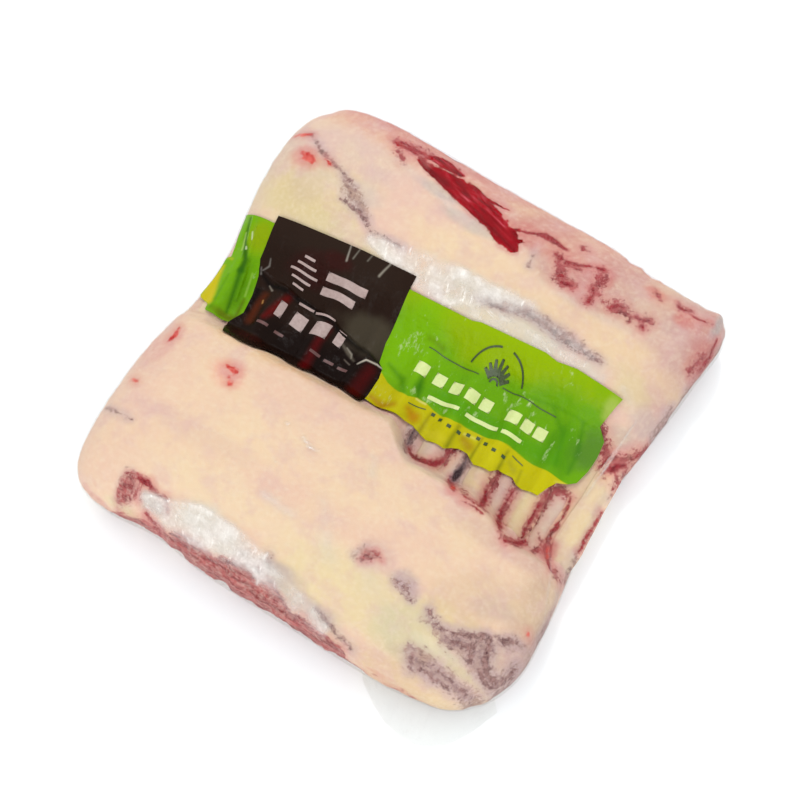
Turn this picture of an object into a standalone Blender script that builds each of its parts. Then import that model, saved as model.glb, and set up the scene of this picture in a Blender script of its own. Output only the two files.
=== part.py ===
"""A vacuum bag shrunk tight over two frenched lamb racks, with a printed band across it.

The two racks lie fat side up with their backbone edges outwards, and their bared ribs lie
between each other's in the middle. The bag clings to them, so its solid is one pillow with
two broad crowns, a low field of rib ridges between them, and a lip where the front rack's
meat ends. The printed band is a thin skin over the ribs.

X runs along the backbones, Y across both racks and Z up. The origin is on the table, under
the middle of the pack. Lengths are in metres.
"""

import math

import bmesh
import bpy
import numpy as np

# The pack's outline
HALF_LENGTH = 0.1214  # along the backbones
HALF_WIDTH = 0.1245  # across both racks
SKEW = -0.045  # both backbone edges lie askew by this much Y for each X
WAIST, WAIST_REACH = 0.0082, 0.045  # how far both ends draw in beside the ribs, and over what Y
WAIST_Y = 0.005
CORNER_ORDER = 8.5  # the superellipse exponent of the outline: lower is rounder
CORNER_SLANT = 2.5  # added to it at back right and front left, taken off at the other two
RACK_SHIFT = 0.0024  # the back rack lies this much further right than the front one
HOLLOWS = (  # in the backbone edges: front or back, X, width, depth
    (-1.0, -0.066, 0.020, 0.0035),
    (1.0, 0.084, 0.022, 0.0025),
)
PUSHES = (  # joints and hollows of the rim: share along, share across, size, and push along X and Y
    (1.0, 0.93, 0.16, 0.0056, 0.0),
    (1.0, 1.0, 0.10, 0.0005, 0.005),
    (1.0, 0.40, 0.22, -0.0012, 0.0),
    (1.0, -0.68, 0.12, 0.0012, 0.0),
    (-0.88, 1.0, 0.14, -0.0006, 0.0016),
    (0.72, -1.0, 0.14, 0.0, 0.001),
)

# The rim, seen from the side
WIDEST_HEIGHT = 0.016  # where the sides bulge out furthest
RIM_ORDER, RIM_FALL = 9, 0.42  # how late and how steeply the top rolls over to that line
TUCK = 0.014  # how far the sides draw in again below it, down to the table

# The racks' tops
CROWN_HEIGHT = 0.050
BACK_CROWN_Y, FRONT_CROWN_Y = 0.079, -0.078
BACK_EDGE_Y, FRONT_EDGE_Y = 0.026, -0.014  # where the meat ends and the ribs are bared
BACK_DROP, FRONT_DROP = 0.013, 0.011  # from the crown to that edge
OUTER_DROP = 0.006  # from the crown to the backbone edge
END_DROP = 0.003  # from the middle of a rack to its ends
LIP_STEPS = ((0.003, 0.026, 0.015), (0.058, 0.090, 0.011))  # the front edge steps back: X to X, depth
LIP_WIDTH = 0.013  # of the rounded step down to the ribs
SHOULDER_WIDTH = 0.020  # of the back rack's gentler slope down to its ribs

# The bared ribs
RIB_PITCH = 0.0263
RIB_AT_X = 0.1085  # centre of the last rib
RIB_FIELD_HEIGHT = 0.0265
RIB_RELIEF = 0.0020
RIB_GROOVE = 0.0013  # beside each rib

# The printed band over the ribs: its outline from above, with a folded end on the left, the
# dark square panel that stands out of the long edges, and a front edge scalloped by the ribs
BAND_OUTLINE = (
    (-0.1105, 0.0000),
    (-0.1075, -0.0040),
    (-0.1040, -0.0090),
    (-0.0930, -0.0095),
    (-0.0915, -0.0125),
    (-0.0780, -0.0175),
    (-0.0620, -0.0120),
    (-0.0480, -0.0135),
    (-0.0250, -0.0130),
    (-0.0030, -0.0110),
    (0.0150, -0.0100),
    (0.0200, -0.0135),
    (0.0320, -0.0140),
    (0.0360, -0.0095),
    (0.0460, -0.0100),
    (0.0500, -0.0135),
    (0.0600, -0.0130),
    (0.0630, -0.0090),
    (0.0700, -0.0100),
    (0.0730, -0.0130),
    (0.0840, -0.0120),
    (0.0880, -0.0010),
    (0.0960, 0.0030),
    (0.0995, 0.0150),
    (0.0990, 0.0290),
    (0.0940, 0.0320),
    (0.0980, 0.0460),
    (0.0700, 0.0485),
    (0.0550, 0.0480),
    (0.0180, 0.0450),
    (-0.0190, 0.0445),
    (-0.0190, 0.0515),
    (-0.0700, 0.0495),
    (-0.0950, 0.0475),
    (-0.0950, 0.0435),
    (-0.1105, 0.0440),
    (-0.1095, 0.0240),
    (-0.1105, 0.0220),
)
BAND_GAP = 0.0005
BAND_THICKNESS = 0.0006

# Mesh fineness
FACES_ALONG, FACES_ACROSS, TUCK_RINGS = 56, 52, 3
EDGE_CROWDING = 0.6  # how much the grid lines crowd towards the rim

BAG_FILM = ("bag_film", (0.86, 0.72, 0.60, 1.0), 0.28)
BAND_FILM = ("band_film", (0.22, 0.40, 0.03, 1.0), 0.32)


def ease(start, end, value):
    """A smooth step from 0 at start to 1 at end."""
    share = np.clip((value - start) / (end - start), 0.0, 1.0)
    return share * share * (3.0 - 2.0 * share)


def rack_top(across, crown_y, inner_edge_y, inner_drop):
    """Height over one rack: two half parabolas from its crown, one to the ribs, one outwards."""
    inwards = (across - crown_y) / (inner_edge_y - crown_y)
    outer_reach = abs(math.copysign(HALF_WIDTH, crown_y) - crown_y) / abs(inner_edge_y - crown_y)
    inner = inner_drop * np.clip(inwards, 0.0, None) ** 2
    outer = OUTER_DROP * (np.clip(-inwards, 0.0, None) / outer_reach) ** 2
    return CROWN_HEIGHT - inner - outer


def lip_y(x):
    """The front rack's rib edge: a straight line that steps back twice along X."""
    return FRONT_EDGE_Y - sum(depth * ease(start, end, x) for start, end, depth in LIP_STEPS)


def top_height(x, y):
    """Height of the bag: the racks' tops stepped down to ridges, with a groove beside each rib."""
    across = y - SKEW * x
    ends = END_DROP * (x / HALF_LENGTH) ** 4
    turn = 2.0 * math.pi * (x - RIB_AT_X) / RIB_PITCH
    ribs = RIB_FIELD_HEIGHT + RIB_RELIEF * np.cos(turn) - RIB_GROOVE * (0.5 - 0.5 * np.cos(2.0 * turn))
    back = rack_top(across, BACK_CROWN_Y, BACK_EDGE_Y, BACK_DROP) - ends
    front = rack_top(across, FRONT_CROWN_Y, FRONT_EDGE_Y, FRONT_DROP) - ends
    over_back = ease(BACK_EDGE_Y - SHOULDER_WIDTH / 2, BACK_EDGE_Y + SHOULDER_WIDTH, y)
    over_front = ease(lip_y(x) + LIP_WIDTH / 2, lip_y(x) - LIP_WIDTH / 2, y)
    return ribs + (back - ribs) * over_back + (front - ribs) * over_front


def outline(along, across):
    """Plan position of a place whose coordinates run from -1 to 1: a superellipse with a waist."""
    order = CORNER_ORDER + CORNER_SLANT * along * across
    reach = np.maximum(np.abs(along), np.abs(across))
    size = (np.abs(along) ** order + np.abs(across) ** order) ** (1.0 / order)
    rounded = reach / np.maximum(size, 1e-9)
    y = HALF_WIDTH * across * rounded
    waist = WAIST * np.exp(-(((y - WAIST_Y) / WAIST_REACH) ** 2))
    shift = RACK_SHIFT * (ease(-WAIST_REACH, WAIST_REACH, y) - 0.5)
    x = (HALF_LENGTH - waist) * along * rounded + shift
    for at, beside, size, push_x, push_y in PUSHES:
        near = np.exp(-((along - at) ** 2 + (across - beside) ** 2) / size**2)
        x, y = x + push_x * near, y + push_y * near
    hollow = sum(
        side * depth * np.exp(-(((x - at) / width) ** 2)) * ease(0.0, side, across) ** 2
        for side, at, width, depth in HOLLOWS
    )
    return x, y + SKEW * x - hollow


def pillow_point(along, across, ring):
    """Ring 0 is the top, rolled over to the widest line; rings up to 1 tuck in to the table."""
    x, y = outline(along, across)
    rim = (1.0 - np.maximum(np.abs(along), np.abs(across)) ** RIM_ORDER) ** RIM_FALL
    height = WIDEST_HEIGHT + (top_height(x, y) - WIDEST_HEIGHT) * rim
    turn = ring * math.pi / 2.0
    inset = 1.0 - TUCK / HALF_WIDTH * (1.0 - np.cos(turn))
    return x * inset, y * inset, np.where(ring > 0.0, WIDEST_HEIGHT * (1.0 - np.sin(turn)), height)


def crowd(place):
    """Moves evenly spaced grid lines towards the rim, where the surface turns over."""
    return (1.0 - EDGE_CROWDING) * place + EDGE_CROWDING * np.sin(place * math.pi / 2.0)


def sheet(with_sides):
    """A square grid of parameters, laid over the pack. Its sides are rings and a flat base."""
    mesh = bmesh.new()
    bmesh.ops.create_grid(mesh, x_segments=FACES_ALONG, y_segments=FACES_ACROSS, size=1.0)
    edges = [edge for edge in mesh.edges if edge.is_boundary]
    for ring in range(TUCK_RINGS if with_sides else 0):
        extruded = bmesh.ops.extrude_edge_only(mesh, edges=edges)["geom"]
        edges = [item for item in extruded if isinstance(item, bmesh.types.BMEdge) and item.is_boundary]
        for vertex in {vertex for edge in edges for vertex in edge.verts}:
            vertex.co.z = (ring + 1) / TUCK_RINGS
    if with_sides:
        bmesh.ops.holes_fill(mesh, edges=edges)
    places = np.array([vertex.co[:] for vertex in mesh.verts])
    points = pillow_point(crowd(places[:, 0]), crowd(places[:, 1]), places[:, 2])
    for vertex, point in zip(mesh.verts, np.column_stack(points)):
        vertex.co = point
    bmesh.ops.triangulate(mesh, faces=[face for face in mesh.faces if len(face.verts) == 4])
    bmesh.ops.recalc_face_normals(mesh, faces=mesh.faces)
    return mesh


def material(name, colour, roughness):
    """A Principled material without metal."""
    made = bpy.data.materials.new(name)
    made.diffuse_color = colour
    made.use_nodes = True
    shader = made.node_tree.nodes["Principled BSDF"]
    shader.inputs["Base Color"].default_value = colour
    shader.inputs["Roughness"].default_value = roughness
    shader.inputs["Metallic"].default_value = 0.0
    return made


def place(name, mesh, collection, look=None):
    """Puts a mesh in its collection as a smooth-shaded object."""
    thing = bpy.data.objects.new(name, mesh)
    collection.objects.link(thing)
    if look:
        mesh.materials.append(material(*look))
    mesh.shade_smooth()
    mesh.set_sharp_from_angle(angle=math.radians(50.0))
    return thing


def sheet_object(name, with_sides, collection, look):
    """The whole pillow, or only its top, as an object."""
    shape = sheet(with_sides)
    mesh = bpy.data.meshes.new(name)
    shape.to_mesh(mesh)
    shape.free()
    return place(name, mesh, collection, look)


def prism(name, points, height, collection):
    """An upright cutter over a flat outline, from below the table to the given height."""
    curve = bpy.data.curves.new(name, "CURVE")
    curve.dimensions = "2D"
    curve.fill_mode = "BOTH"
    curve.extrude = height
    spline = curve.splines.new("POLY")
    spline.points.add(len(points) - 1)
    spline.use_cyclic_u = True
    for point, (x, y) in zip(spline.points, points):
        point.co = (x, y, 0.0, 1.0)
    guide = bpy.data.objects.new(name, curve)
    collection.objects.link(guide)
    evaluated = guide.evaluated_get(bpy.context.evaluated_depsgraph_get())
    mesh = bpy.data.meshes.new_from_object(evaluated)
    welded = bmesh.new()
    welded.from_mesh(mesh)
    bmesh.ops.remove_doubles(welded, verts=welded.verts, dist=0.00001)
    bmesh.ops.recalc_face_normals(welded, faces=welded.faces)
    welded.to_mesh(mesh)
    welded.free()
    bpy.data.objects.remove(guide)
    cutter = place(name, mesh, collection)
    cutter.hide_render = True
    cutter.display_type = "WIRE"
    return cutter


def printed_band(pieces, cutters):
    """The bag's own top surface, lifted off it, thickened and trimmed to the band's outline."""
    band = sheet_object("printed_band", False, pieces, BAND_FILM)
    lift = band.modifiers.new("lift", "DISPLACE")
    lift.direction = "NORMAL"
    lift.mid_level = 0.0
    lift.strength = BAND_GAP
    skin = band.modifiers.new("skin", "SOLIDIFY")
    skin.thickness = BAND_THICKNESS
    skin.offset = 1.0
    trim = band.modifiers.new("trim", "BOOLEAN")
    trim.operation = "INTERSECT"
    trim.solver = "EXACT"
    trim.object = prism("band_outline", BAND_OUTLINE, 2.0 * CROWN_HEIGHT, cutters)
    return band


for old in list(bpy.data.objects):
    bpy.data.objects.remove(old)
pack = bpy.data.collections.new("vacuum_packed_lamb_racks")
guides = bpy.data.collections.new("cutters")
for group in (pack, guides):
    bpy.context.scene.collection.children.link(group)
sheet_object("vacuum_bag", True, pack, BAG_FILM)
printed_band(pack, guides)
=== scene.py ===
import math

import bpy
import numpy as np
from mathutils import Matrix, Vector


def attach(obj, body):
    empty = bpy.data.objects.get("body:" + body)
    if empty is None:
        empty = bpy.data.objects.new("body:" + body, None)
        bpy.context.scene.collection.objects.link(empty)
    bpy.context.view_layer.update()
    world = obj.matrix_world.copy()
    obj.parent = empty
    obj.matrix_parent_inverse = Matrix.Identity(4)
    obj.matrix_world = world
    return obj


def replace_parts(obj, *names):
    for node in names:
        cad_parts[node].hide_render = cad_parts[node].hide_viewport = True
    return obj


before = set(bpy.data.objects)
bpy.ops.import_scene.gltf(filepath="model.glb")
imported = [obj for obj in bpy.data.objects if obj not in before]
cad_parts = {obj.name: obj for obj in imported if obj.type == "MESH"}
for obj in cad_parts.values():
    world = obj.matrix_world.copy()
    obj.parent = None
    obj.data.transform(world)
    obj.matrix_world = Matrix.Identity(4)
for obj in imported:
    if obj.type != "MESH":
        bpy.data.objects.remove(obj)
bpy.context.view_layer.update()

# The back rack of lamb: the long eye of the loin under a cap of fat, sawn off along the
# backbone, which makes its outer edge, and trimmed to bare ribs on its inner side. Nothing
# holds it but the bag, which is shrunk onto it, so the pack's form is the rack's own.

MM = 0.001  # all shapes below are worked out in millimetres
HALF_LENGTH, HALF_WIDTH = 121.4, 124.5  # of the whole pack
SKEW = -0.045  # both backbone edges lie askew by this much Y for each X
WAIST, WAIST_REACH, WAIST_Y = 8.2, 45.0, 5.0  # both ends draw in beside the ribs
CORNER_ORDER, CORNER_SLANT = 8.5, 2.5  # superellipse exponent, and its change from corner to corner
RACK_SHIFT = 2.4  # the back rack lies further right than the front one
HOLLOWS = ((-1.0, -66.0, 20.0, 3.5), (1.0, 84.0, 22.0, 2.5))  # (side, X, width, depth) in the backbones
PUSHES = (  # joints and hollows of the rim: share along, share across, size, and push along X and Y
    (1.0, 0.93, 0.16, 5.6, 0.0),
    (1.0, 1.0, 0.10, 0.5, 5.0),
    (1.0, 0.40, 0.22, -1.2, 0.0),
    (1.0, -0.68, 0.12, 1.2, 0.0),
    (-0.88, 1.0, 0.14, -0.6, 1.6),
    (0.72, -1.0, 0.14, 0.0, 1.0),
)
WIDEST_HEIGHT, TUCK = 16.0, 14.0  # where the sides bulge out furthest, and how far they draw in below
RIM_ORDER, RIM_FALL = 9, 0.42  # how late and how steeply the top rolls over to that line
CROWN_HEIGHT = 50.0
BACK_CROWN_Y, FRONT_CROWN_Y = 79.0, -78.0
BACK_EDGE_Y, FRONT_EDGE_Y = 26.0, -14.0  # where the meat ends and the ribs are bared
BACK_DROP, FRONT_DROP, OUTER_DROP, END_DROP = 13.0, 11.0, 6.0, 3.0
LIP_STEPS, LIP_WIDTH = ((3.0, 26.0, 15.0), (58.0, 90.0, 11.0)), 13.0  # (from X, to X, depth)
SHOULDER_WIDTH = 20.0
RIB_PITCH, RIB_AT_X = 26.3, 108.5
RIB_FIELD_HEIGHT, RIB_RELIEF, RIB_GROOVE = 26.5, 2.0, 1.3
FILM_GAP = 0.6  # the meat's surface lies this far under the film
EDGE_SINK, EDGE_SINK_WIDTH = 4.0, 8.0  # how far a rack sinks at its rib edge, and over what width
EDGE_ORDER, EDGE_FALL = 30, 0.45  # how late and how steeply that edge rolls over
UNDER_RELIEF, BARE_HALF = 0.9, 3.9  # of the ribs below, and half width of the meat between them
MEAT_SINK = 0.5  # bare meat lies this far below the fat
HILL_RELIEF, LUMP_RELIEF, STRIP_RELIEF = 0.45, 0.12, 0.8  # of the fat, and added on strips of meat
CUT_FACE = 0.955  # the reach where the sawn faces start
EYE_Y, EYE_Z, EYE_HALF_Y, EYE_HALF_Z = 82.0, 13.0, 33.0, 8.5  # the oval of meat low on a sawn end
BAND_X, BAND_Z, BAND_HALF_X, BAND_HALF_Z = -26.0, 12.5, 84.0, 9.0  # and the band along a backbone
PALE_LIGHT = np.array((0.747, 0.737, 0.739))  # albedo per light seen, by channel, in this bright room
HAZE_LIGHT, DARK_SHARE = 0.011, 0.6  # what the sheen adds to it, and the least albedo per light
LATTICE = 128  # cells of the random heights before they repeat
NO_FIELD, FAR_OUTSIDE = -20.0, -99.0  # depth of a field where it isn't, and of a stroke to start with
AT_RIM = 0.997  # the furthest reach at which what lies on the pack follows its form


def ease(start, end, value):
    """A smooth step from 0 at start to 1 at end: 3 share squared less 2 share cubed."""
    share = np.clip((value - start) / (end - start), 0.0, 1.0)
    return share * share * (3.0 - 2.0 * share)


def rack_top(across, crown_y, inner_edge_y, inner_drop):
    """Height over one rack: two half parabolas from its crown, one to the ribs, one outwards."""
    inwards = (across - crown_y) / (inner_edge_y - crown_y)
    outer_reach = abs(math.copysign(HALF_WIDTH, crown_y) - crown_y) / abs(inner_edge_y - crown_y)
    inner = inner_drop * np.clip(inwards, 0.0, None) ** 2
    outer = OUTER_DROP * (np.clip(-inwards, 0.0, None) / outer_reach) ** 2
    return CROWN_HEIGHT - inner - outer


def lip_y(x):
    """The front rack's rib edge: a straight line that steps back twice along X."""
    return FRONT_EDGE_Y - sum(depth * ease(start, end, x) for start, end, depth in LIP_STEPS)


def top_height(x, y):
    """Height of the pack: the racks' tops stepped down to ridges, with a groove beside each rib."""
    across = y - SKEW * x
    ends = END_DROP * (x / HALF_LENGTH) ** 4
    turn = 2.0 * math.pi * (x - RIB_AT_X) / RIB_PITCH
    ribs = RIB_FIELD_HEIGHT + RIB_RELIEF * np.cos(turn) - RIB_GROOVE * (0.5 - 0.5 * np.cos(2.0 * turn))
    back = rack_top(across, BACK_CROWN_Y, BACK_EDGE_Y, BACK_DROP) - ends
    front = rack_top(across, FRONT_CROWN_Y, FRONT_EDGE_Y, FRONT_DROP) - ends
    over_back = ease(BACK_EDGE_Y - SHOULDER_WIDTH / 2, BACK_EDGE_Y + SHOULDER_WIDTH, y)
    over_front = ease(lip_y(x) + LIP_WIDTH / 2, lip_y(x) - LIP_WIDTH / 2, y)
    return ribs + (back - ribs) * over_back + (front - ribs) * over_front


def outline(along, across):
    """Plan position of a place whose coordinates run from -1 to 1: a superellipse with a waist."""
    order = CORNER_ORDER + CORNER_SLANT * along * across
    reach = np.maximum(np.abs(along), np.abs(across))
    size = (np.abs(along) ** order + np.abs(across) ** order) ** (1.0 / order)
    rounded = reach / np.maximum(size, 1e-9)
    y = HALF_WIDTH * across * rounded
    waist = WAIST * np.exp(-(((y - WAIST_Y) / WAIST_REACH) ** 2))
    shift = RACK_SHIFT * (ease(-WAIST_REACH, WAIST_REACH, y) - 0.5)
    x = (HALF_LENGTH - waist) * along * rounded + shift
    for at, beside, size, push_x, push_y in PUSHES:
        near = np.exp(-((along - at) ** 2 + (across - beside) ** 2) / size**2)
        x, y = x + push_x * near, y + push_y * near
    hollow = sum(
        side * depth * np.exp(-(((x - at) / width) ** 2)) * ease(0.0, side, across) ** 2
        for side, at, width, depth in HOLLOWS
    )
    return x, y + SKEW * x - hollow


def reach_of(x, y):
    """How far out a place lies, 1 at the rim: the outline's formula turned round, along X and Y."""
    plain = y - SKEW * x
    waist = WAIST * np.exp(-(((plain - WAIST_Y) / WAIST_REACH) ** 2))
    shift = RACK_SHIFT * (ease(-WAIST_REACH, WAIST_REACH, plain) - 0.5)
    return np.abs(x - shift) / (HALF_LENGTH - waist), np.abs(plain) / HALF_WIDTH


def rim_share(reach):
    """Share of the height left near the rim: 1 less reach to the ninth, to the power 0.42."""
    return np.clip(1.0 - reach**RIM_ORDER, 0.0, 1.0) ** RIM_FALL


def under_height(reach):
    """Height of the underside: flat on the table, then a quarter ellipse up to the widest line."""
    flat = 1.0 - TUCK / HALF_WIDTH
    turn = np.clip((reach - flat) / (1.0 - flat), 0.0, 1.0)
    return WIDEST_HEIGHT * (1.0 - np.sqrt(1.0 - turn**2))


def crowd(count, low=-1.0, high=1.0, share=0.6):
    """Places from low to high that crowd towards both ends: part even, part a sine."""
    place = np.linspace(-1.0, 1.0, count)
    place = (1.0 - share) * place + share * np.sin(place * math.pi / 2.0)
    return low + (high - low) * (place + 1.0) / 2.0


def grid(firsts, seconds):
    """Two grids of every pair of places, with a row for each of the firsts."""
    return np.meshgrid(firsts, seconds, indexing="ij")


def hills(x, y, size, seed):
    """Smooth hills from -1 to 1: random heights on a lattice, joined by smooth steps."""
    lattice = np.random.default_rng(seed).uniform(-1.0, 1.0, (LATTICE, LATTICE))
    column, row = np.floor(x / size), np.floor(y / size)
    u, v = ease(0.0, 1.0, x / size - column), ease(0.0, 1.0, y / size - row)
    i, j = column.astype(int) % LATTICE, row.astype(int) % LATTICE
    i2, j2 = (i + 1) % LATTICE, (j + 1) % LATTICE
    near = lattice[i, j] * (1.0 - u) + lattice[i2, j] * u
    far = lattice[i, j2] * (1.0 - u) + lattice[i2, j2] * u
    return near * (1.0 - v) + far * v


def rough(x, y, size, seed, octaves=4):
    """Fractal hills: each octave half the size and a little over half the height of the last."""
    total = 0.0
    for octave in range(octaves):
        layer = hills(x + 31.7 * octave, y - 17.3 * octave, size / 2**octave, seed + octave)
        total = total + 0.55**octave * layer
    return total


def stroke(x, y, path):
    """How deep a place lies inside a brush stroke, in mm: half width less distance from its path.

    The path is a list of (x, y, half width), and the width runs evenly from point to point.
    """
    depth = np.full(np.shape(x), FAR_OUTSIDE)
    for (x1, y1, w1), (x2, y2, w2) in zip(path, path[1:]):
        run = max((x2 - x1) ** 2 + (y2 - y1) ** 2, 1e-9)
        share = np.clip(((x - x1) * (x2 - x1) + (y - y1) * (y2 - y1)) / run, 0.0, 1.0)
        away = np.hypot(x - x1 - share * (x2 - x1), y - y1 - share * (y2 - y1))
        depth = np.maximum(depth, w1 + (w2 - w1) * share - away)
    return depth


def soft(x, y, path, blur):
    """A stroke as a stain from 0 to 1 with a soft edge of the given width."""
    return ease(-blur, blur, stroke(x, y, path))


def facing_normals(points, facing=1.0):
    """Unit normals of a grid, from the cross product of its two directions, up or down on the whole."""
    across = np.cross(np.gradient(points, axis=0), np.gradient(points, axis=1))
    across = across / np.maximum(np.linalg.norm(across, axis=2, keepdims=True), 1e-12)
    return across * np.sign(across[..., 2].sum()) * facing


def make_piece(name, points, faces, material, fields=None, tone=None, thin=False):
    """A smooth mesh object from points in mm, with its surface fields as attributes.

    A thin sheet is smooth but for its sharp border.
    """
    mesh = bpy.data.meshes.new(name)
    mesh.from_pydata((points.reshape(-1, 3) * MM).tolist(), [], list(faces))
    for field, values in (fields or {}).items():
        made = mesh.attributes.new(field, "FLOAT", "POINT")
        made.data.foreach_set("value", np.ravel(values).astype(np.float32))
    if tone is not None:
        made = mesh.attributes.new("tone", "FLOAT_COLOR", "POINT")
        opaque = np.concatenate([tone.reshape(-1, 3), np.ones((tone.size // 3, 1))], axis=1)
        made.data.foreach_set("color", opaque.astype(np.float32).ravel())
    mesh.shade_smooth()
    if thin:
        mesh.set_sharp_from_angle(angle=math.radians(60.0))
    mesh.materials.append(material)
    piece = bpy.data.objects.new(name, mesh)
    bpy.context.scene.collection.objects.link(piece)
    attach(piece, "root")
    return piece


def quads(corners):
    """Faces from four grids of corner numbers, row by row."""
    return np.stack([corner.ravel() for corner in corners], axis=1)


def joined(top, under):
    """The values of a closed form of two grids that share their border, in the order of its points."""
    return np.concatenate([values.reshape(-1, *top.shape[2:]) for values in (top, under[1:-1, 1:-1])])


def closed_form(top, under):
    """Points and faces of a closed form of two grids that share their border."""
    rows, columns = top.shape[:2]
    above = np.arange(rows * columns).reshape(rows, columns)
    below = above.copy()
    below[1:-1, 1:-1] = rows * columns + np.arange((rows - 2) * (columns - 2)).reshape(rows - 2, columns - 2)
    upper = quads((above[:-1, :-1], above[1:, :-1], above[1:, 1:], above[:-1, 1:]))
    lower = quads((below[:-1, :-1], below[:-1, 1:], below[1:, 1:], below[1:, :-1]))
    faces = np.concatenate([upper, lower])
    upright = np.cross(np.gradient(top, axis=0), np.gradient(top, axis=1))[..., 2].sum() > 0
    return joined(top, under), faces if upright else faces[:, ::-1]


def linear(*colour):
    """A colour as it looks in this bright light, in 0 to 255, as the linear albedo that gives it."""
    share = np.array(colour) / 255.0
    light = np.where(share <= 0.04045, share / 12.92, ((share + 0.055) / 1.055) ** 2.4)
    return np.clip(PALE_LIGHT * light - HAZE_LIGHT, DARK_SHARE * light, 1.0)


def node(tree, kind, sockets=(), **settings):
    """Adds a shader node, sets its options, and links or sets its inputs by name or number."""
    made = tree.nodes.new(kind)
    for option, value in settings.items():
        setattr(made, option, value)
    for place, value in sockets.items() if isinstance(sockets, dict) else enumerate(sockets):
        if isinstance(value, bpy.types.NodeSocket):
            tree.links.new(value, made.inputs[place])
        else:
            made.inputs[place].default_value = value
    return made


def new_material(name):
    """An empty node material, its tree, and the place on the object as a socket."""
    made = bpy.data.materials.new(name)
    made.use_nodes = True
    made.node_tree.nodes.clear()
    return made, made.node_tree, node(made.node_tree, "ShaderNodeTexCoord").outputs["Object"]


def surfaced(made, kind, sockets):
    """The material, with a shader of this kind as its surface."""
    tree = made.node_tree
    shader = node(tree, kind, sockets)
    output = node(tree, "ShaderNodeOutputMaterial")
    tree.links.new(shader.outputs[0], output.inputs["Surface"])
    return made


def stored(tree, name, output="Fac"):
    """A field or colour that a piece stores on its points."""
    return node(tree, "ShaderNodeAttribute", attribute_name=name).outputs[output]


def maths(tree, operation, *values):
    """The output of a Math node."""
    return node(tree, "ShaderNodeMath", values, operation=operation).outputs[0]


def mixed(tree, share, first, second):
    """The output of a colour Mix node."""
    sockets = {0: share}
    for place, value in ((6, first), (7, second)):
        sockets[place] = value if isinstance(value, bpy.types.NodeSocket) else (*value, 1.0)
    return node(tree, "ShaderNodeMix", sockets, data_type="RGBA").outputs[2]


def grain(tree, where, scale, detail=4.0, roughness=0.6, stretch=None, turn=0.0):
    """A noise from 0 to 1 about 0.5, its scale per metre; stretch and turn draw it out along a line."""
    if stretch:
        sizes = [1.0 / value for value in stretch]
        settings = {"Vector": where, "Rotation": (0.0, 0.0, turn), "Scale": sizes}
        where = node(tree, "ShaderNodeMapping", settings, vector_type="TEXTURE").outputs[0]
    inputs = {"Vector": where, "Scale": scale, "Detail": detail, "Roughness": roughness}
    return node(tree, "ShaderNodeTexNoise", inputs).outputs[0]


def edge(tree, field, ragged, noise, blur, start=0.0):
    """A mask from 0 to 1 where a depth field in mm is above the start, its edge frayed by noise."""
    frayed = maths(tree, "MULTIPLY_ADD", maths(tree, "SUBTRACT", noise, 0.5), ragged, stored(tree, field))
    limits = {"Value": frayed, "From Min": start - blur, "From Max": start + blur}
    return node(tree, "ShaderNodeMapRange", limits, interpolation_type="SMOOTHSTEP").outputs[0]


def contrast(tree, value, low, high, most=1.0):
    """A value stretched so that low becomes 0 and high becomes the most, and held there."""
    limits = {"Value": value, "From Min": low, "From Max": high, "To Max": most}
    return node(tree, "ShaderNodeMapRange", limits).outputs[0]


def mottled(tree, noise, low, high, first, second, most=1.0):
    """Two colours mixed by a noise: the first below low, and the most of the second above high."""
    return mixed(tree, contrast(tree, noise, low, high, most), first, second)


def bumped(tree, height, strength, distance):
    """The normals of a surface with this relief, its distance in metres."""
    sockets = {"Strength": strength, "Distance": distance, "Height": height}
    return node(tree, "ShaderNodeBump", sockets).outputs[0]


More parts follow.
